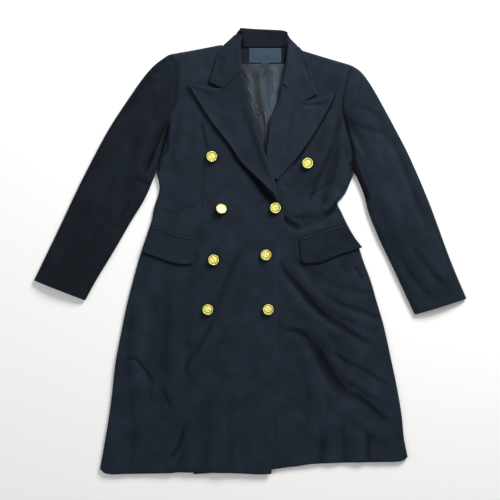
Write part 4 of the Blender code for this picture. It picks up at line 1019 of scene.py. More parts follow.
def make_back():
    """The back: straight rows between the turned-under strips of the two fronts, on the floor."""
    ends = []
    for side in ("right", "left"):
        inward = np.array([SIGN[side], 0.0])
        strip = fronts[side]["strip"][:, :2] + inward * BACK_CLEAR
        armhole = fronts[side]["armhole"][2:-3, :2] + inward * (WOOL + BACK_CLEAR)
        chain = np.vstack([armhole, strip])
        ends.append(through(chain[::6], np.linspace(0, 1, BACK_ROWS)))
    flat = between(*ends, np.linspace(0, 1, BACK_COLUMNS))
    down = np.linspace(0, 1, len(flat))
    neck_x, neck_y = np.array(BACK_SHOULDER).T
    rise = np.interp(flat[0, :, 0], neck_x, neck_y) - flat[0, :, 1]
    flat[..., 1] += np.clip(1 - down / BACK_TOP_SHARE, 0, 1)[:, None] * np.maximum(rise, 0)
    hem_x, hem_y = np.array(BACK_HEM).T
    drop = np.interp(flat[-1, :, 0], hem_x, hem_y) - flat[-1, :, 1]
    flat[..., 1] += np.clip((down - BACK_HEM_FROM) / BACK_HEM_SHARE, 0, 1)[:, None] * drop
    sheet = np.dstack([flat, np.full(flat.shape[:2], FLOOR_MID)])
    piece, area = cloth_wall("back_panel", [level(sheet)], WOOL, navy_wool)
    sew_in(piece, "back")


make_back()

# %% Sleeves
SLEEVE_COLUMNS = 56
SLEEVE_CAP = 0.4        # shares of the sleeve's length over which the armhole's curve, the
ARMPIT_EASE = 0.2       # armpit's narrow roll and the body's height fade out
SEAM_EASE = 0.25
SEAM_FOLDS = 2.0        # how much stronger the folds are halfway between body and sleeve
SLEEVE_GRAIN = {"right": math.radians(-28), "left": math.radians(27)}
SLEEVE_WOOL = {"right": painted_shade_wool, "left": navy_wool}


def make_sleeve(side):
    """A sleeve's rolled top and its flat under piece."""
    across = np.linspace(0, 1, SLEEVE_COLUMNS)
    seam = through(ARMHOLE[side], across)[:, :2]
    step = np.gradient(seam, axis=0)
    toward = np.column_stack([step[:, 1], -step[:, 0]]) * SIGN[side]
    seam = seam + directions(toward) * SEAM / 2
    rows = laid_rows(SLEEVE[side], at_end=True)
    outer, inner = rows[:, :2].copy(), rows[:, 2:].copy()
    outer[0], inner[0] = seam[0], seam[-1]
    down = run_length(outer)
    share = down / down[-1]
    chord = seam[0] + (seam[-1] - seam[0]) * across[:, None]
    bow = (seam - chord) * (1 - ease(share / SLEEVE_CAP))[:, None, None]
    flat = between(outer, inner, across) + bow
    outer_in = directions(flat[:, INWARD_CELLS] - flat[:, 0])
    inner_in = directions(flat[:, -1 - INWARD_CELLS] - flat[:, -1])
    outer_line, inner_line = flat[:, 0].copy(), flat[:, -1].copy()
    outer_depth = SHOULDER_ROLL + (CUFF_ROLL - SHOULDER_ROLL) * share
    inner_depth = SIDE_ROLL + (CUFF_ROLL - SIDE_ROLL) * ease(share / ARMPIT_EASE)
    width = np.linalg.norm(inner_line - outer_line, axis=1)[:, None]
    for line_in, depth, distance in ((outer_in, outer_depth, across * width),
                                     (inner_in, inner_depth, (1 - across) * width)):
        drawn = np.clip(1 - distance / DRAW, 0, 1) * (depth + WOOL / 2)[:, None]
        flat = flat + line_in[:, None] * drawn[..., None]

    x, y = flat[..., 0], flat[..., 1]
    folds = fold_relief(FOLDS["sleeve_" + side], x, y)
    dome = SLEEVE_REST + SLEEVE_DOME * np.sin(np.pi * across) ** DOME_POWER
    own = dome + swell_relief(SWELLS[side], x, y) + folds + unevenness(x, y)
    body = front_height(side, x[:1], y[:1])
    joined = ease(share / SEAM_EASE)[:, None]
    top = body * (1 - joined) + own * joined + SEAM_FOLDS * (1 - joined) * joined * folds
    top -= SEAM_DIP * np.exp(-(down / SEAM_WIDTH) ** 2)[:, None]
    top -= pressed(down[-1] - down)[:, None]
    sheet = np.dstack([flat, top])
    first, first_facing = rolled(outer_line, outer_in, top[:, 0], FLOOR_MID, outer_depth)
    last, last_facing = rolled(inner_line, inner_in, top[:, -1], FLOOR_MID, inner_depth)
    middle = np.concatenate([first, sheet, last[:, ::-1]], axis=1)
    facing = np.concatenate([first_facing, up(sheet), last_facing[:, ::-1]], axis=1)
    light = kept_light("sleeve_" + side, middle[..., 0], middle[..., 1])
    piece, area = cloth_wall(f"{side}_sleeve_top", [(middle, facing, every(middle), light)], WOOL,
                             SLEEVE_WOOL[side], SLEEVE_GRAIN[side])
    sew_in(piece, f"sleeve_{side}_top")

    start, end = first[:, 0, :2] + outer_in * SEAM, last[:, 0, :2] + inner_in * SEAM
    low = between(start, end, across) + bow * np.sin(np.pi * across)[:, None]
    under = np.dstack([low, np.full(low.shape[:2], FLOOR_MID)])
    piece, area = cloth_wall(f"{side}_sleeve_under", [level(under)], WOOL, navy_wool,
                             SLEEVE_GRAIN[side])
    sew_in(piece, f"sleeve_{side}_under")


for side in ("left", "right"):
    make_sleeve(side)

# %% [markdown]
# ## Lapels
#
# A lapel is the front's own facing, turned over at the roll line and laid back on the chest.
# Its rows go from the roll line to its edge. It stands a little off the chest by the roll, and
# its edge springs up, which throws part of the dark line along it; painted shade on the front
# beneath it draws the rest.

# %% Lapel helper
LAPEL_COLUMNS = 44
LAPEL_LOFT = 3.2        # how far the roll holds a lapel off the chest, which fades across it
LAPEL_LOFT_FADE = 22.0
LAPEL_REACH = 5.0
LAPEL_COVERED = 5.0     # how far the left lapel runs on beneath the other front's edge
LAPEL_NARROWEST = 14.0
LAPEL_GRAIN = {"right": math.radians(-38), "left": math.radians(34)}
#              centre_x centre_y reach height: where a lapel's edge springs up
SPRING = {
    "right": [(30, 140, 46, 6.5), (-90, 290, 90, 2.4), (-138, 371, 30, 1.8), (-30, 210, 60, 2.6)],
    "left": [(150, 285, 60, 2.4), (186, 350, 28, 1.6), (112, 215, 40, 3.0)],
}
EDGE_LIFT = 1.2         # the least that the edge springs up, and over which distance it fades
EDGE_SPRING = 14.0


def spring(side, x, y, distance):
    """How far an edge lifts: round lifts that fade away from the edge."""
    lifts = [(centre_x, centre_y, reach, reach, height)
             for centre_x, centre_y, reach, height in SPRING[side]]
    return (EDGE_LIFT + swell_relief(lifts, x, y)) * np.exp(-distance / EDGE_SPRING)


def grid_in_groups(table, breaks):
    """Dense rows of a table whose outline has corners at the breaks."""
    parts = []
    for start, end in zip(breaks[:-1], breaks[1:]):
        part = laid_rows(table[start:end + 1], at_start=True, at_end=True)
        parts.append(part if not parts else part[1:])
    return np.vstack(parts)


def make_lapel(side):
    """A lapel: rolled up from the front's edge and laid back over the front."""
    table = np.array(LAPEL[side], dtype=float)
    rows = grid_in_groups(table, (0, NOTCH_ROW, PEAK_ROW, len(table) - 1))
    roll = np.column_stack([edge_x(side, rows[:, 0]), rows[:, 0]])
    edge = rows[:, 1:3]
    covered = rows[:, 0] < COVERED_BELOW[side]
    roll[covered, 0] = edge_x("right", rows[covered, 0]) - LAPEL_COVERED
    inward = directions(edge - roll)
    start = roll + inward * (LAPEL_ROLL + WOOL / 2)
    width = np.linalg.norm(edge - start, axis=1)
    share = close_by_edges(np.maximum(width, LAPEL_NARROWEST), LAPEL_COLUMNS, at_end=True)
    flat = between(start, edge, share)
    flat[..., 1] += rows[:, 3:] * (1 - (2 * share - 1) ** 4)
    distance = (1 - share) * width[:, None]
    loft = LAPEL_LOFT * np.exp(-share * width[:, None] / LAPEL_LOFT_FADE)
    top = height_beneath(side, flat, LAPEL_REACH) + WOOL + LAY + loft
    top += spring(side, flat[..., 0], flat[..., 1], distance) - pressed(distance)
    top += fold_relief(FOLDS["lapel_" + side], flat[..., 0], flat[..., 1])
    sheet = np.dstack([flat, top])
    bottom = front_height(side, start[:, 0], start[:, 1])
    turn, turn_facing = rolled(roll, inward, top[:, 0], bottom, LAPEL_ROLL, strip=0)
    middle = np.concatenate([turn, sheet], axis=1)
    facing = np.concatenate([turn_facing, up(sheet)], axis=1)
    kept = every(middle)
    kept[covered[1:], :len(ROLL_ANGLES)] = False
    patch = (middle, facing, kept, LAPEL_LIGHT[side])
    piece, area = cloth_wall(f"{side}_lapel", [patch], WOOL, pressed_wool, LAPEL_GRAIN[side])
    sew_in(piece, "lapel_" + side)
    return sheet


lapels = {side: make_lapel(side) for side in ("left", "right")}

# %% [markdown]
# ## Collar
#
# The collar is one strip that goes round the neck. Each wing lies on the lapel's top and ends
# in the notch. Behind the neck it folds down to the floor, and inside it the stand is seen.

# %% Collar
COLLAR_LOFT = 3.0
COLLAR_LOFT_FADE = 18.0
COLLAR_REACH = 5.0
COLLAR_SPRING = 1.8
COLLAR_COLUMNS = 34
COLLAR_STEP = 3.0
COLLAR_TURN = 5.0       # the least height of a wing's roll
SEWN_SHARES = (0.40, 0.54)   # a wing's seam ends and its notch opens between these shares
SEWN_FLAT = 0.9         # how little the sewn part is pressed
NECK_SINK = 3.0         # how far a wing sinks where it folds round the neck, over this height
NECK_SINK_OVER = 28.0
COLLAR_GRAIN = math.radians(20)
#             y: how far the fall's ends stay inside the wings' fold, which hides them lower down
FALL_INSET = {"right": [(459, 6.3), (482, 6.3), (486, 0.3)],
              "left": [(459, 6.3), (466, 6.3), (470, 0.3)]}
FALL_ROWS, TURN_ROWS, STAND_ROWS = 16, 8, 18
STAND_COLUMNS = 44
STAND_GAP = (2.2, 6.4)  # the stand's ends stay off the rolls of the wings by this, and turn down
STAND_GAP_OVER = 0.3
STAND_LEAN = (4.0, 1.0)
STAND_DIP = 2.0
STAND_SAG = 0.7
SAG_WAVES = 1.3
GAP_SHADE_AT = (-17.5, 80.0)  # where painted shade darkens the fall in the gap between the stand and each wing's roll
GAP_SHADE_WIDTH = 3.2
STAND_SHADE = 0.46      # painted shade on the stand's inside, and more on its ends, as if they leaned away from the light
STAND_END_SHADE = 0.3
STAND_END_OVER = 6.0
#            share drop: how far the collar's top edge hangs below its left end
TOP_DROP = [(0, 0.4), (0.03, 0), (0.3, 2.2), (0.88, 5.0), (0.95, 7.0), (1, 9.5)]
TOP_DROP_FROM, TOP_DROP_OVER = 460.0, 34.0


def wing_patches(side):
    """One wing and its fold round the neck, and where that fold meets the floor."""
    rows = laid_rows(WING[side], at_start=True, step=COLLAR_STEP)
    roll, edge, hang = rows[:, :2], rows[:, 2:4], rows[:, 4:]
    folded = rows[:, 3] > NECK_FOLD_FROM
    inward = directions(edge - roll)
    start = roll + inward * (LAPEL_ROLL + WOOL / 2)
    end = edge - inward * ((NECK_ROLL + WOOL / 2) * folded)[:, None]
    width = np.linalg.norm(end - start, axis=1)
    share = close_by_edges(width, COLLAR_COLUMNS, at_end=True)
    flat = between(start, end, share) + hang[:, None] * (1 - np.abs(2 * share - 1))[..., None]
    distance = (1 - share) * width[:, None]
    loft = COLLAR_LOFT * np.exp(-share * width[:, None] / COLLAR_LOFT_FADE)
    sink = NECK_SINK * ease((rows[:, 3] - NECK_FOLD_FROM) / NECK_SINK_OVER)[:, None]
    laid = height_beneath(side, flat, COLLAR_REACH) + WOOL + LAY
    lift = (COLLAR_SPRING * np.exp(-distance / EDGE_SPRING) - pressed(distance)) * ~folded[:, None]
    from_notch = run_length(edge)[:, None]
    sewn = 1 - ease((share - SEWN_SHARES[0]) / (SEWN_SHARES[1] - SEWN_SHARES[0]))
    top = laid + loft + lift - sink - pressed(from_notch) * (1 - SEWN_FLAT * sewn)
    top += fold_relief(FOLDS["wing_" + side], flat[..., 0], flat[..., 1])
    sheet = np.dstack([flat, top])
    bottom = np.minimum(front_height(side, start[:, 0], start[:, 1]), top[:, 0] - COLLAR_TURN)
    turn, turn_facing = rolled(roll, inward, top[:, 0], bottom, LAPEL_ROLL, strip=0)
    wing = np.concatenate([turn, sheet], axis=1)
    wing_facing = np.concatenate([turn_facing, up(sheet)], axis=1)
    around = rolled(edge[folded], -inward[folded], top[folded, -1], FLOOR_MID, NECK_ROLL, strip=0)
    around = joined_to(*around, sheet[folded, -1])
    return [(wing, wing_facing, every(wing), WING_LIGHT[side]), (*around, every(around[0]), 1.0)]


def stand_patch():
    """The fall behind the neck on the floor, its turn at the top, and the stand inside."""
    table = np.array(NECK_BACK, dtype=float)
    y = np.linspace(table[0, 0], table[-1, 0], FALL_ROWS)
    start = np.interp(y, table[:, 0], table[:, 1]) + np.interp(y, *np.array(FALL_INSET["right"]).T)
    end = np.interp(y, table[:, 0], table[:, 2]) - np.interp(y, *np.array(FALL_INSET["left"]).T)
    across = close_by_edges(end[-1] - start[-1], STAND_COLUMNS, at_start=True, at_end=True)[0]
    count = len(across)
    sections, facings = [], []
    for height, first, last in zip(y, start, end):
        x = first + (last - first) * across
        sections.append(np.column_stack([x, np.full(count, height), np.full(count, FLOOR_MID)]))
        facings.append((0.0, 0.0, -1.0))
    x = sections[-1][:, 0]
    half = (STAND[0][1] - FLOOR_MID) / 2
    for angle in np.radians(np.linspace(20, 160, TURN_ROWS)):
        sections.append(np.column_stack([x, np.full(count, table[-1, 0] + half * math.sin(angle)),
                                         np.full(count, FLOOR_MID + half - half * math.cos(angle))]))
        facings.append((0.0, math.sin(angle), -math.cos(angle)))
    shares = np.linspace(0, 1, STAND_ROWS)
    from_end = np.minimum(across, 1 - across) * (end[-1] - start[-1])
    for share, (height, middle) in zip(shares, through(STAND, shares)):
        shown = ease(share / STAND_GAP_OVER)
        left_in, right_in = [lean * share + gap * shown for lean, gap in zip(STAND_LEAN, STAND_GAP)]
        inner_x = x + left_in * (1 - across) - right_in * across
        sag = STAND_SAG * np.sin(np.pi * share) * np.sin(math.tau * across * SAG_WAVES)
        dip = shown * pressed(from_end, STAND_DIP, EDGE_WIDTH)
        sections.append(np.column_stack([inner_x, np.full(count, height), middle + sag - dip]))
        facings.append((0.0, 0.0, 1.0))
    middle = np.array(sections)
    facing = np.broadcast_to(np.array(facings)[:, None], middle.shape)
    lower = np.interp(across, *np.array(TOP_DROP).T)
    middle[..., 1] -= lower * ease((middle[..., 1] - TOP_DROP_FROM) / TOP_DROP_OVER)
    inside = STAND_SHADE - STAND_END_SHADE * np.exp(-(from_end / STAND_END_OVER) ** 2)
    light = np.where(facing[..., 2] > LEVEL, inside, 1.0)
    gap = sum(np.exp(-((middle[..., 0] - place) / GAP_SHADE_WIDTH) ** 2) for place in GAP_SHADE_AT)
    light = np.where(facing[..., 2] < -LEVEL, 1 - DEEPEST_SHADE * np.clip(gap, 0, 1), light)
    light = light * kept_light("stand", middle[..., 0], middle[..., 1])
    return middle, facing, every(middle), light


collar_patches = [*wing_patches("right"), *wing_patches("left"), stand_patch()]
collar, collar_area = cloth_wall("collar_and_stand", collar_patches, WOOL, pressed_wool, COLLAR_GRAIN)
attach(collar, "root")
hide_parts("collar")

# %% [markdown]
# ## Pockets
#
# Each pocket has a flap that hangs from a slanted mouth and a narrow jet above it. Both are
# laid on the front, and the flap's lower edge stands off a little.

# %% Flaps and jets
FLAP_REACH = 6.0
FLAP_COLUMNS = 18
FLAP_SPRING = 1.6       # how far the lower edge stands off, and over which distance it fades
FLAP_SPRING_FADE = 9.0
FLAP_STEP = 2.0
FLAP_GRAIN = {"right": math.radians(12), "left": math.radians(-14)}
JET_COLUMNS = 8


def make_pocket(side):
    """A flap and its jet: rows across the mouth, from its top line to its bottom line."""
    rows = laid_rows(FLAP[side], at_start=True, at_end=True, step=FLAP_STEP)
    along = run_length(rows[:, :2])
    top_line, bottom_line = rows[:, :2], rows[:, 2:].copy()
    corner = pressed(along[-1] - along, FLAP_CORNER, FLAP_CORNER)
    bottom_line += directions(top_line - bottom_line) * corner[:, None]
    width = np.linalg.norm(bottom_line - top_line, axis=1)
    share = close_by_edges(width, FLAP_COLUMNS, at_end=True)
    flat = between(top_line, bottom_line, share)
    distance = (1 - share) * width[:, None]
    inner_distance = (along[-1] - along)[:, None]
    top = height_beneath(side, flat, FLAP_REACH) + WOOL + LAY
    top += FLAP_SPRING * np.exp(-distance / FLAP_SPRING_FADE)
    top -= pressed(distance) + pressed(inner_distance)
    sheet = np.dstack([flat, top])
    piece, area = cloth_wall(f"{side}_pocket_flap", [level(sheet, FLAP_LIGHT[side])], WOOL,
                             navy_wool, FLAP_GRAIN[side])
    sew_in(piece, "pocket_flap_" + side)

    upward = directions(top_line - bottom_line)
    share = np.linspace(0, 1, JET_COLUMNS)
    low = top_line + upward * 2 * SEAM
    flat = low[:, None] + upward[:, None] * (JET_WIDTH * share)[:, None]
    crown = 0.7 * np.sin(np.pi * share) - 0.4
    top = height_beneath(side, flat, FLAP_REACH) + (WOOL + JET) / 2 + LAY + crown
    sheet = np.dstack([flat, top])
    piece, area = cloth_wall(f"{side}_pocket_jet", [level(sheet)], JET, navy_wool, FLAP_GRAIN[side])
    sew_in(piece, "pocket_jet_" + side)


for side in ("left", "right"):
    make_pocket(side)

# %% [markdown]
# ## Inside the neck
#
# In the opening the satin lining shows, crumpled because nothing holds it flat. Above it is a
# plain wool facing with a bare woven label stitched on, and a small bare size tab.

# %% Lining, facing and labels
#           y   left_x right_x
LINING_ROWS = [(419, -32, 92), (380, -24, 84), (340, -14, 76), (300, -2, 62),
               (260, 10, 54), (225, 20, 50), (198, 29, 47)]
#   path                                      width_left width_right height crisp
LINING_FOLDS = [
    ([(-10, 440), (-6, 380), (0, 330), (12, 270)], 13, 18, 3.2, 0.05),
    ([(44, 440), (50, 380), (46, 330), (38, 270)], 19, 16, 3.6, 0.05),
    ([(16, 430), (20, 370), (18, 330), (26, 280)], 9, 9, -2.6, 0.3),
    ([(32, 402), (26, 388), (22, 368), (30, 340)], 5, 4, -2.6, 0.5),
    ([(-20, 402), (-8, 392), (4, 372)], 6, 4, 1.5, 0.5),
    ([(-14, 366), (-2, 356), (8, 334)], 6, 4, 1.7, 0.5),
    ([(-8, 334), (4, 322), (12, 306)], 5, 4, 1.4, 0.6),
    ([(12, 330), (18, 308), (28, 318)], 6, 6, 3.4, 0.4),
    ([(30, 322), (35, 286), (37, 230)], 4, 5, 3.6, 0.7),
    ([(20, 284), (26, 250), (32, 216)], 5, 4, -1.8, 0.5),
    ([(58, 408), (52, 384), (56, 350)], 7, 5, 1.6, 0.5),
    ([(70, 398), (66, 366), (60, 336)], 6, 6, -1.8, 0.4),
    ([(44, 356), (40, 330), (46, 306)], 5, 5, -1.4, 0.5),
]
LINING_COLUMNS = 56
LINING_STEP = 2.0
LINING_UNEVEN = 0.4     # share of the wool's unevenness that the smooth lining takes
LINING_RISE = 0.4       # its crumples rise from its border by this power of a sine, and this far in
LINING_RISE_OVER = 16.0
#            left right low high
NECK_FACING = (-32, 92, 419.5, 460)
LABEL = (-2, 69, 422, 454.5)
SIZE_TAB = (24, 42, 412.5, 421.7)
PATCH_COLUMNS, PATCH_ROWS = 26, 14
PATCH_BOW_OVER = 14.0   # a patch reaches its full bow this far from its edge
PATCH_EDGE = (-0.15, 2.0)    # its edge stands up by this, over this width


def make_lining():
    """The lining that shows: rows across the opening, level at its border and crumpled inside."""
    rows = laid_rows(LINING_ROWS, step=LINING_STEP)
    across = np.linspace(0, 1, LINING_COLUMNS)
    x = rows[:, 1:2] + (rows[:, 2:3] - rows[:, 1:2]) * across
    y = np.broadcast_to(rows[:, :1], x.shape)
    shown = np.sin(np.pi * across) ** LINING_RISE
    shown = shown * ease((LINING_ROWS[0][0] - y) / LINING_RISE_OVER)
    rest = WOOL + SEAM + LINING / 2
    crumples = fold_relief(LINING_FOLDS, x, y) + LINING_UNEVEN * unevenness(3 * x, y)
    sheet = np.dstack([x, y, rest + np.maximum(shown * crumples, 0)])
    piece, area = cloth_wall("neck_lining", [level(sheet, kept_light("lining", x, y))], LINING,
                             slate_satin)
    sew_in(piece, "lining")


def make_patch(name, node, bounds, bottom, thickness, finish, bow):
    """A small rectangle of cloth with pressed edges, bowed up in the middle."""
    left, right, low, high = bounds
    u = close_by_edges(right - left, PATCH_COLUMNS, at_start=True, at_end=True)[0]
    v = close_by_edges(high - low, PATCH_ROWS, at_start=True, at_end=True)[0]
    x, y = np.meshgrid(left + (right - left) * u, high + (low - high) * v)
    edge = np.minimum(np.minimum(x - left, right - x), np.minimum(y - low, high - y))
    height = bottom + thickness / 2 + bow * ease(edge / PATCH_BOW_OVER)
    height += pressed(PATCH_EDGE[1] - edge, *PATCH_EDGE)
    sheet = np.dstack([x, y, height])
    piece, area = cloth_wall(name, [level(sheet)], thickness, finish)
    sew_in(piece, node)


make_lining()
facing_bottom = WOOL + SEAM
label_bottom = facing_bottom + FACING + SEAM
for name, node, bounds, bottom, thickness, finish, slot, bow in (
        ("back_neck_facing", "neck_facing", NECK_FACING, facing_bottom, FACING, painted_shade_wool, "wool", 0.2),
        ("bare_label", "neck_label", LABEL, label_bottom, RIBBON, ribbon, "label", 0.5),
        ("bare_size_tab", "size_tab", SIZE_TAB, label_bottom, RIBBON, dark_ribbon, "label", 0.1)):
    make_patch(name, node, bounds, bottom, thickness, finish, bow)

# %% [markdown]
# ## Stitches
#
# A stitch is a short thread that dives into the cloth at both ends. One small rounded shape is
# repeated along a line and all of a seam's stitches are one mesh, so hundreds cost little.

# %% Stitch helper
STITCH_RINGS, STITCH_SIDES = 7, 6
UPRIGHT = np.array([0.0, 0.0, 1.0])


def stitches(name, starts, ends, thread, finish):
    """Stitches as one mesh: each a tube, thick in the middle and sunk at its ends."""
    along = np.linspace(0, 1, STITCH_RINGS)
    around = np.arange(STITCH_SIDES) * math.tau / STITCH_SIDES
    aside = directions(np.cross(directions(ends - starts), UPRIGHT))
    centre = between(starts, ends, along)
    centre[..., 2] += thread * 0.5 * np.sin(np.pi * along) - thread * 0.3
    radius = thread / 2 * (0.35 + 0.65 * np.sin(np.pi * along) ** 0.5)
    ring = (centre[:, :, None] + aside[:, None, None] * (radius[:, None] * np.cos(around))[..., None]
            + UPRIGHT * (radius[:, None] * np.sin(around))[..., None])
    index = np.arange(STITCH_RINGS * STITCH_SIDES).reshape(STITCH_RINGS, STITCH_SIDES)
    after = np.roll(index, -1, axis=1)
    sides = np.stack([index[1:], after[1:], after[:-1], index[:-1]], axis=-1).reshape(-1, 4)
    first_cap = np.array([[3, 2, 1, 0], [5, 4, 3, 0]])
    last_cap = np.array([[0, 1, 2, 3], [0, 3, 4, 5]]) + index[-1, 0]
    one = np.vstack([sides, first_cap, last_cap])
    faces = (one + (np.arange(len(starts)) * index.size)[:, None, None]).reshape(-1, 4)
    piece = add_mesh(name, ring.reshape(-1, 3), faces, finish)
    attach(piece, "root")
    print(f"{name}: {len(starts)} stitches")


def row_of_stitches(corners, height, pitch, length):
    """Starts and ends of stitches along a chain of flat corners, at one height."""
    corners = np.asarray(corners, dtype=float)
    run = run_length(corners)
    count = int(run[-1] / pitch)
    middle = (np.arange(count) + 0.5) * run[-1] / count
    place = [np.column_stack([np.interp(middle + k * length / 2, run, c) for c in corners.T])
             for k in (-1, 1)]
    return [np.column_stack([p, np.full(count, height)]) for p in place]


LABEL_INSET = 1.6       # distance of the stitches from the label's edge
left, right, low, high = np.array(LABEL) + np.array([1, -1, 1, -1]) * LABEL_INSET
starts, ends = row_of_stitches([(left, low), (right, low), (right, high), (left, high), (left, low)],
                               label_bottom + RIBBON, pitch=3.2, length=2.2)
stitches("label_stitches", starts, ends, 0.45, stitch_thread)

# %% [markdown]
# The wearer's left lapel has a worked buttonhole: a slit whose two lips are closed with short
# stitches side by side, in a thread a little lighter than the wool.

# %% Buttonhole
SLIT = np.array([(121.0, 317.0), (152.0, 318.5)])
SLIT_STITCHES = 40
LIP = 1.3               # the stitches of each lip reach this far from the slit

place = SLIT[0] + (SLIT[1] - SLIT[0]) * (np.arange(SLIT_STITCHES)[:, None] + 0.5) / SLIT_STITCHES
lapel = lapels["left"].reshape(-1, 3)
nearest = ((place[:, None] - lapel[:, :2]) ** 2).sum(axis=-1).argmin(axis=1)
height = lapel[nearest, 2] + WOOL / 2
lips = [np.column_stack([place[:, 0], place[:, 1] + reach, height])
        for reach in (0.1, LIP, -0.1, -LIP)]
stitches("lapel_buttonhole", np.vstack(lips[::2]), np.vstack(lips[1::2]), 0.7, lapel_thread)

# %% [markdown]
# ## Buttons
#
# The buttons are turned and struck: a domed face, a raised rim cut like rope, and a plain
# anchor, which any coat of this kind may carry. The whole button is one surface of two
# parameters, the place along its profile and the angle round it.

# %% Button surface
BUTTON_HEIGHT = 7.4
ROPE_TURNS = 26
ANCHOR_RELIEF = 0.8
ROPE_RELIEF = 0.4
HOLLOW_TONE = 0.85      # how bright painted shade leaves the metal in the ground of the relief, and beneath
SHANK_TONE = 0.1
ROUND = 104             # places round the button, a multiple of the rope's turns
FACE_SHARE = 0.80       # shares of the radius where the face ends and the rim has its middle
RIM_SHARE = 0.90
RIM_HALF = 1.2          # half the rim's width
FACE_PLACES = 33
RIM_PLACES = 16
ROPE_PLACES = 12        # the rim's upper places, which carry the rope
#             radius height, from beneath the rim to the foot of the shank
BUTTON_BACK = [(9.6, 4.8), (6.4, 4.2), (3.4, 3.9), (2.9, 3.2), (2.6, 1.6), (2.6, 0.0)]


def bar(x, y, x0, y0, x1, y1, half):
    """Depth inside a round-ended bar: its half width less the distance to its line."""
    length = (x1 - x0) ** 2 + (y1 - y0) ** 2
    t = np.clip(((x - x0) * (x1 - x0) + (y - y0) * (y1 - y0)) / length, 0, 1)
    return half - np.hypot(x - x0 - t * (x1 - x0), y - y0 - t * (y1 - y0))


def anchor_relief(x, y):
    """A plain anchor: shank, stock, ring, curved arms and two flukes, raised with soft sides."""
    inside = bar(x, y, 0, -5.4, 0, 4.0, 0.8)
    inside = np.maximum(inside, bar(x, y, -3.0, 3.0, 3.0, 3.0, 0.6))
    inside = np.maximum(inside, 0.55 - np.abs(np.hypot(x, y - 5.6) - 1.3))
    arms = np.where(y < -1.6, 0.75 - np.abs(np.hypot(x, y + 0.2) - 5.2), -1.0)
    inside = np.maximum(inside, arms)
    for way in (-1, 1):
        inside = np.maximum(inside, bar(x, y, way * 5.0, -1.8, way * 3.8, -0.2, 0.65))
        inside = np.maximum(inside, bar(x, y, way * 5.0, -1.8, way * 6.2, -0.8, 0.5))
    return ANCHOR_RELIEF * ease((inside + 0.25) / 0.5)


def button_points():
    """Profile along the button from the middle of its face to the foot of its shank, spun."""
    face = np.linspace(0, FACE_SHARE, FACE_PLACES + 1)[1:]
    rim = np.linspace(math.pi, -0.5 * math.pi, RIM_PLACES)
    back_radius, back_height = np.array(BUTTON_BACK).T
    radius = np.concatenate([face * BUTTON_RADIUS,
                             BUTTON_RADIUS * RIM_SHARE + RIM_HALF * np.cos(rim), back_radius])
    height = np.concatenate([BUTTON_HEIGHT - 2.0 + 0.8 * (1 - (face / FACE_SHARE) ** 2),
                             BUTTON_HEIGHT - 1.3 + 1.0 * np.sin(rim), back_height])
    angle = np.arange(ROUND) * math.tau / ROUND
    x, y = radius[:, None] * np.cos(angle), radius[:, None] * np.sin(angle)
    z = np.broadcast_to(height[:, None], x.shape).copy()
    relief = anchor_relief(x[:FACE_PLACES], y[:FACE_PLACES])
    z[:FACE_PLACES] += relief
    rope = slice(FACE_PLACES, FACE_PLACES + ROPE_PLACES)
    wave = np.sin(angle * ROPE_TURNS + 1.6 * rim[:ROPE_PLACES, None])
    z[rope] += ROPE_RELIEF * wave * np.sin(np.linspace(0, np.pi, ROPE_PLACES))[:, None]
    # Painted shade on the metal: the ground of the relief, a ring where the face meets the rim, the
    # rim's flanks and the underside are darker, and the rope's turns alternate light and dark.
    painted_light = np.full(x.shape, HOLLOW_TONE)
    edge_shade = 1 - 0.6 * ease((face - 0.66) / 0.14)[:, None]
    painted_light[:FACE_PLACES] = (HOLLOW_TONE + (1 - HOLLOW_TONE) * relief / ANCHOR_RELIEF) * edge_shade
    crown = np.clip(np.sin(rim), 0.02, 1) ** np.where(rim < math.pi / 2, 1.2, 0.4)
    below = FACE_PLACES + RIM_PLACES
    painted_light[FACE_PLACES:below] = crown[:, None] * (0.86 + 0.14 * np.sin(angle * ROPE_TURNS))
    painted_light[below:] = SHANK_TONE
    index = np.arange(x.size).reshape(x.shape)
    after = np.roll(index, -1, axis=1)
    quads = np.stack([index[:-1], index[1:], after[1:], after[:-1]], axis=-1).reshape(-1, 4)
    return np.dstack([x, y, z]).reshape(-1, 3), quads, index, painted_light.ravel()


def fan(ring, pole):
    """Faces from a pole to a ring: each takes three places, so it has four corners."""
    pairs = ring.reshape(-1, 2)
    after = np.roll(ring, -1).reshape(-1, 2)[:, 1]
    return np.column_stack([np.full(len(pairs), pole), pairs, after])


def turned(axis, degrees):
    """The matrix of a turn about axis 0, 1 or 2."""
    angle = math.radians(degrees)
    first, second = (axis + 1) % 3, (axis + 2) % 3
    matrix = np.eye(3)
    matrix[first, first] = matrix[second, second] = math.cos(angle)
    matrix[second, first] = math.sin(angle)
    matrix[first, second] = -math.sin(angle)
    return matrix


def make_button(number, side, row):
    """One button, tilted and turned, with its shank on the cloth."""
    x, y, tilt_x, tilt_y, lift, turn = row
    points, quads, index, painted_light = button_points()
    pole = len(points)
    points = np.vstack([points, [0, 0, points[:ROUND, 2].mean()], [0, 0, 0]])
    faces = np.vstack([quads, fan(index[0], pole), fan(index[-1], pole + 1)[:, ::-1]])
    seat = front_height(side, np.array([float(x)]), np.array([float(y)]))[0] + WOOL / 2 + SEAM
    points = points @ (turned(1, tilt_y) @ turned(0, tilt_x) @ turned(2, turn)).T
    piece = add_mesh(f"gilt_button_{number}", points + np.array([x, y, seat + lift]), faces, gilt,
                     sharp=50, painted_light=np.append(painted_light, [painted_light[0], SHANK_TONE]))
    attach(piece, "root")
    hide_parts(f"button_{number}")


for number, row in enumerate(BUTTONS, start=1):
    make_button(number, "right", row)
make_button(len(BUTTONS) + 1, "left", LEFT_BUTTON)
print("buttons:", len(BUTTONS) + 1)

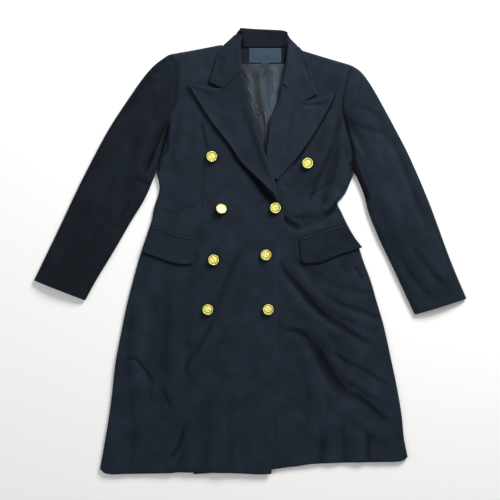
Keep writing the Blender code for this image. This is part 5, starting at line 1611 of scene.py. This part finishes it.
# %% [markdown]
# ## Floor, light and camera
#
# The coat lies on a plain pale floor. One big soft light stands beyond the collar and a little
# to the right, low enough that folds and edges throw soft shadows towards the hem, and a pale
# sky fills them. The camera looks straight down from the height that shows the whole floor
# square of the picture.

# %% Stage
PIXEL = 0.00225         # one of the picture's 500 pixels, in metres on the floor
FRAME_WIDTH = 500 * PIXEL
LENS = 70.0
SENSOR = 36.0
FRAME_CENTRE = (-0.0006, 0.0011)
FLOOR_LEVEL = -0.0002   # a hair beneath the cloth
FLOOR_HALF = 3.0
SKY_STRENGTH = 0.27

floor_finish, floor_tree, floor_shader = new_finish("pale_floor")
set_shader(floor_tree, floor_shader, base_color=linear("#f7f7f4"), roughness=0.9)
floor_mesh = bpy.data.meshes.new("floor")
floor_corners = [(FLOOR_HALF * x, FLOOR_HALF * y, FLOOR_LEVEL)
                 for x, y in ((-1, -1), (1, -1), (1, 1), (-1, 1))]
floor_mesh.from_pydata(floor_corners, [], [(0, 1, 2, 3)])
floor_mesh.materials.append(floor_finish)
floor = put_in_scene("pale_floor", floor_mesh)


def soft_light(name, place, size, power):
    """A square area light that looks at the coat's middle."""
    lamp = bpy.data.lights.new(name, "AREA")
    lamp.size = size
    lamp.energy = power
    light = put_in_scene(name, lamp)
    x, y, height = place
    light.location = place
    light.rotation_euler = (math.atan2(math.hypot(x, y), height), 0, math.atan2(-x, y) + math.pi)


soft_light("key_light", (1.35, 2.15, 1.45), 1.0, 110)
soft_light("side_light", (-2.2, 0.3, 2.4), 1.6, 20)
soft_light("ceiling_light", (-0.1, 0.12, 3.4), 1.5, 15)
sky = bpy.data.worlds.new("pale_sky")
sky.use_nodes = True
background = sky.node_tree.nodes["Background"]
background.inputs["Color"].default_value = linear("#f4f6fa")
background.inputs["Strength"].default_value = SKY_STRENGTH
bpy.context.scene.world = sky
bpy.context.scene.view_settings.view_transform = "Standard"

camera_data = bpy.data.cameras.new("camera")
camera_data.lens = LENS
camera_data.sensor_width = SENSOR
camera = put_in_scene("camera", camera_data)
camera.location = (*FRAME_CENTRE, FRAME_WIDTH * LENS / SENSOR)
bpy.context.scene.camera = camera
print("camera height in metres:", round(camera.location.z, 3))
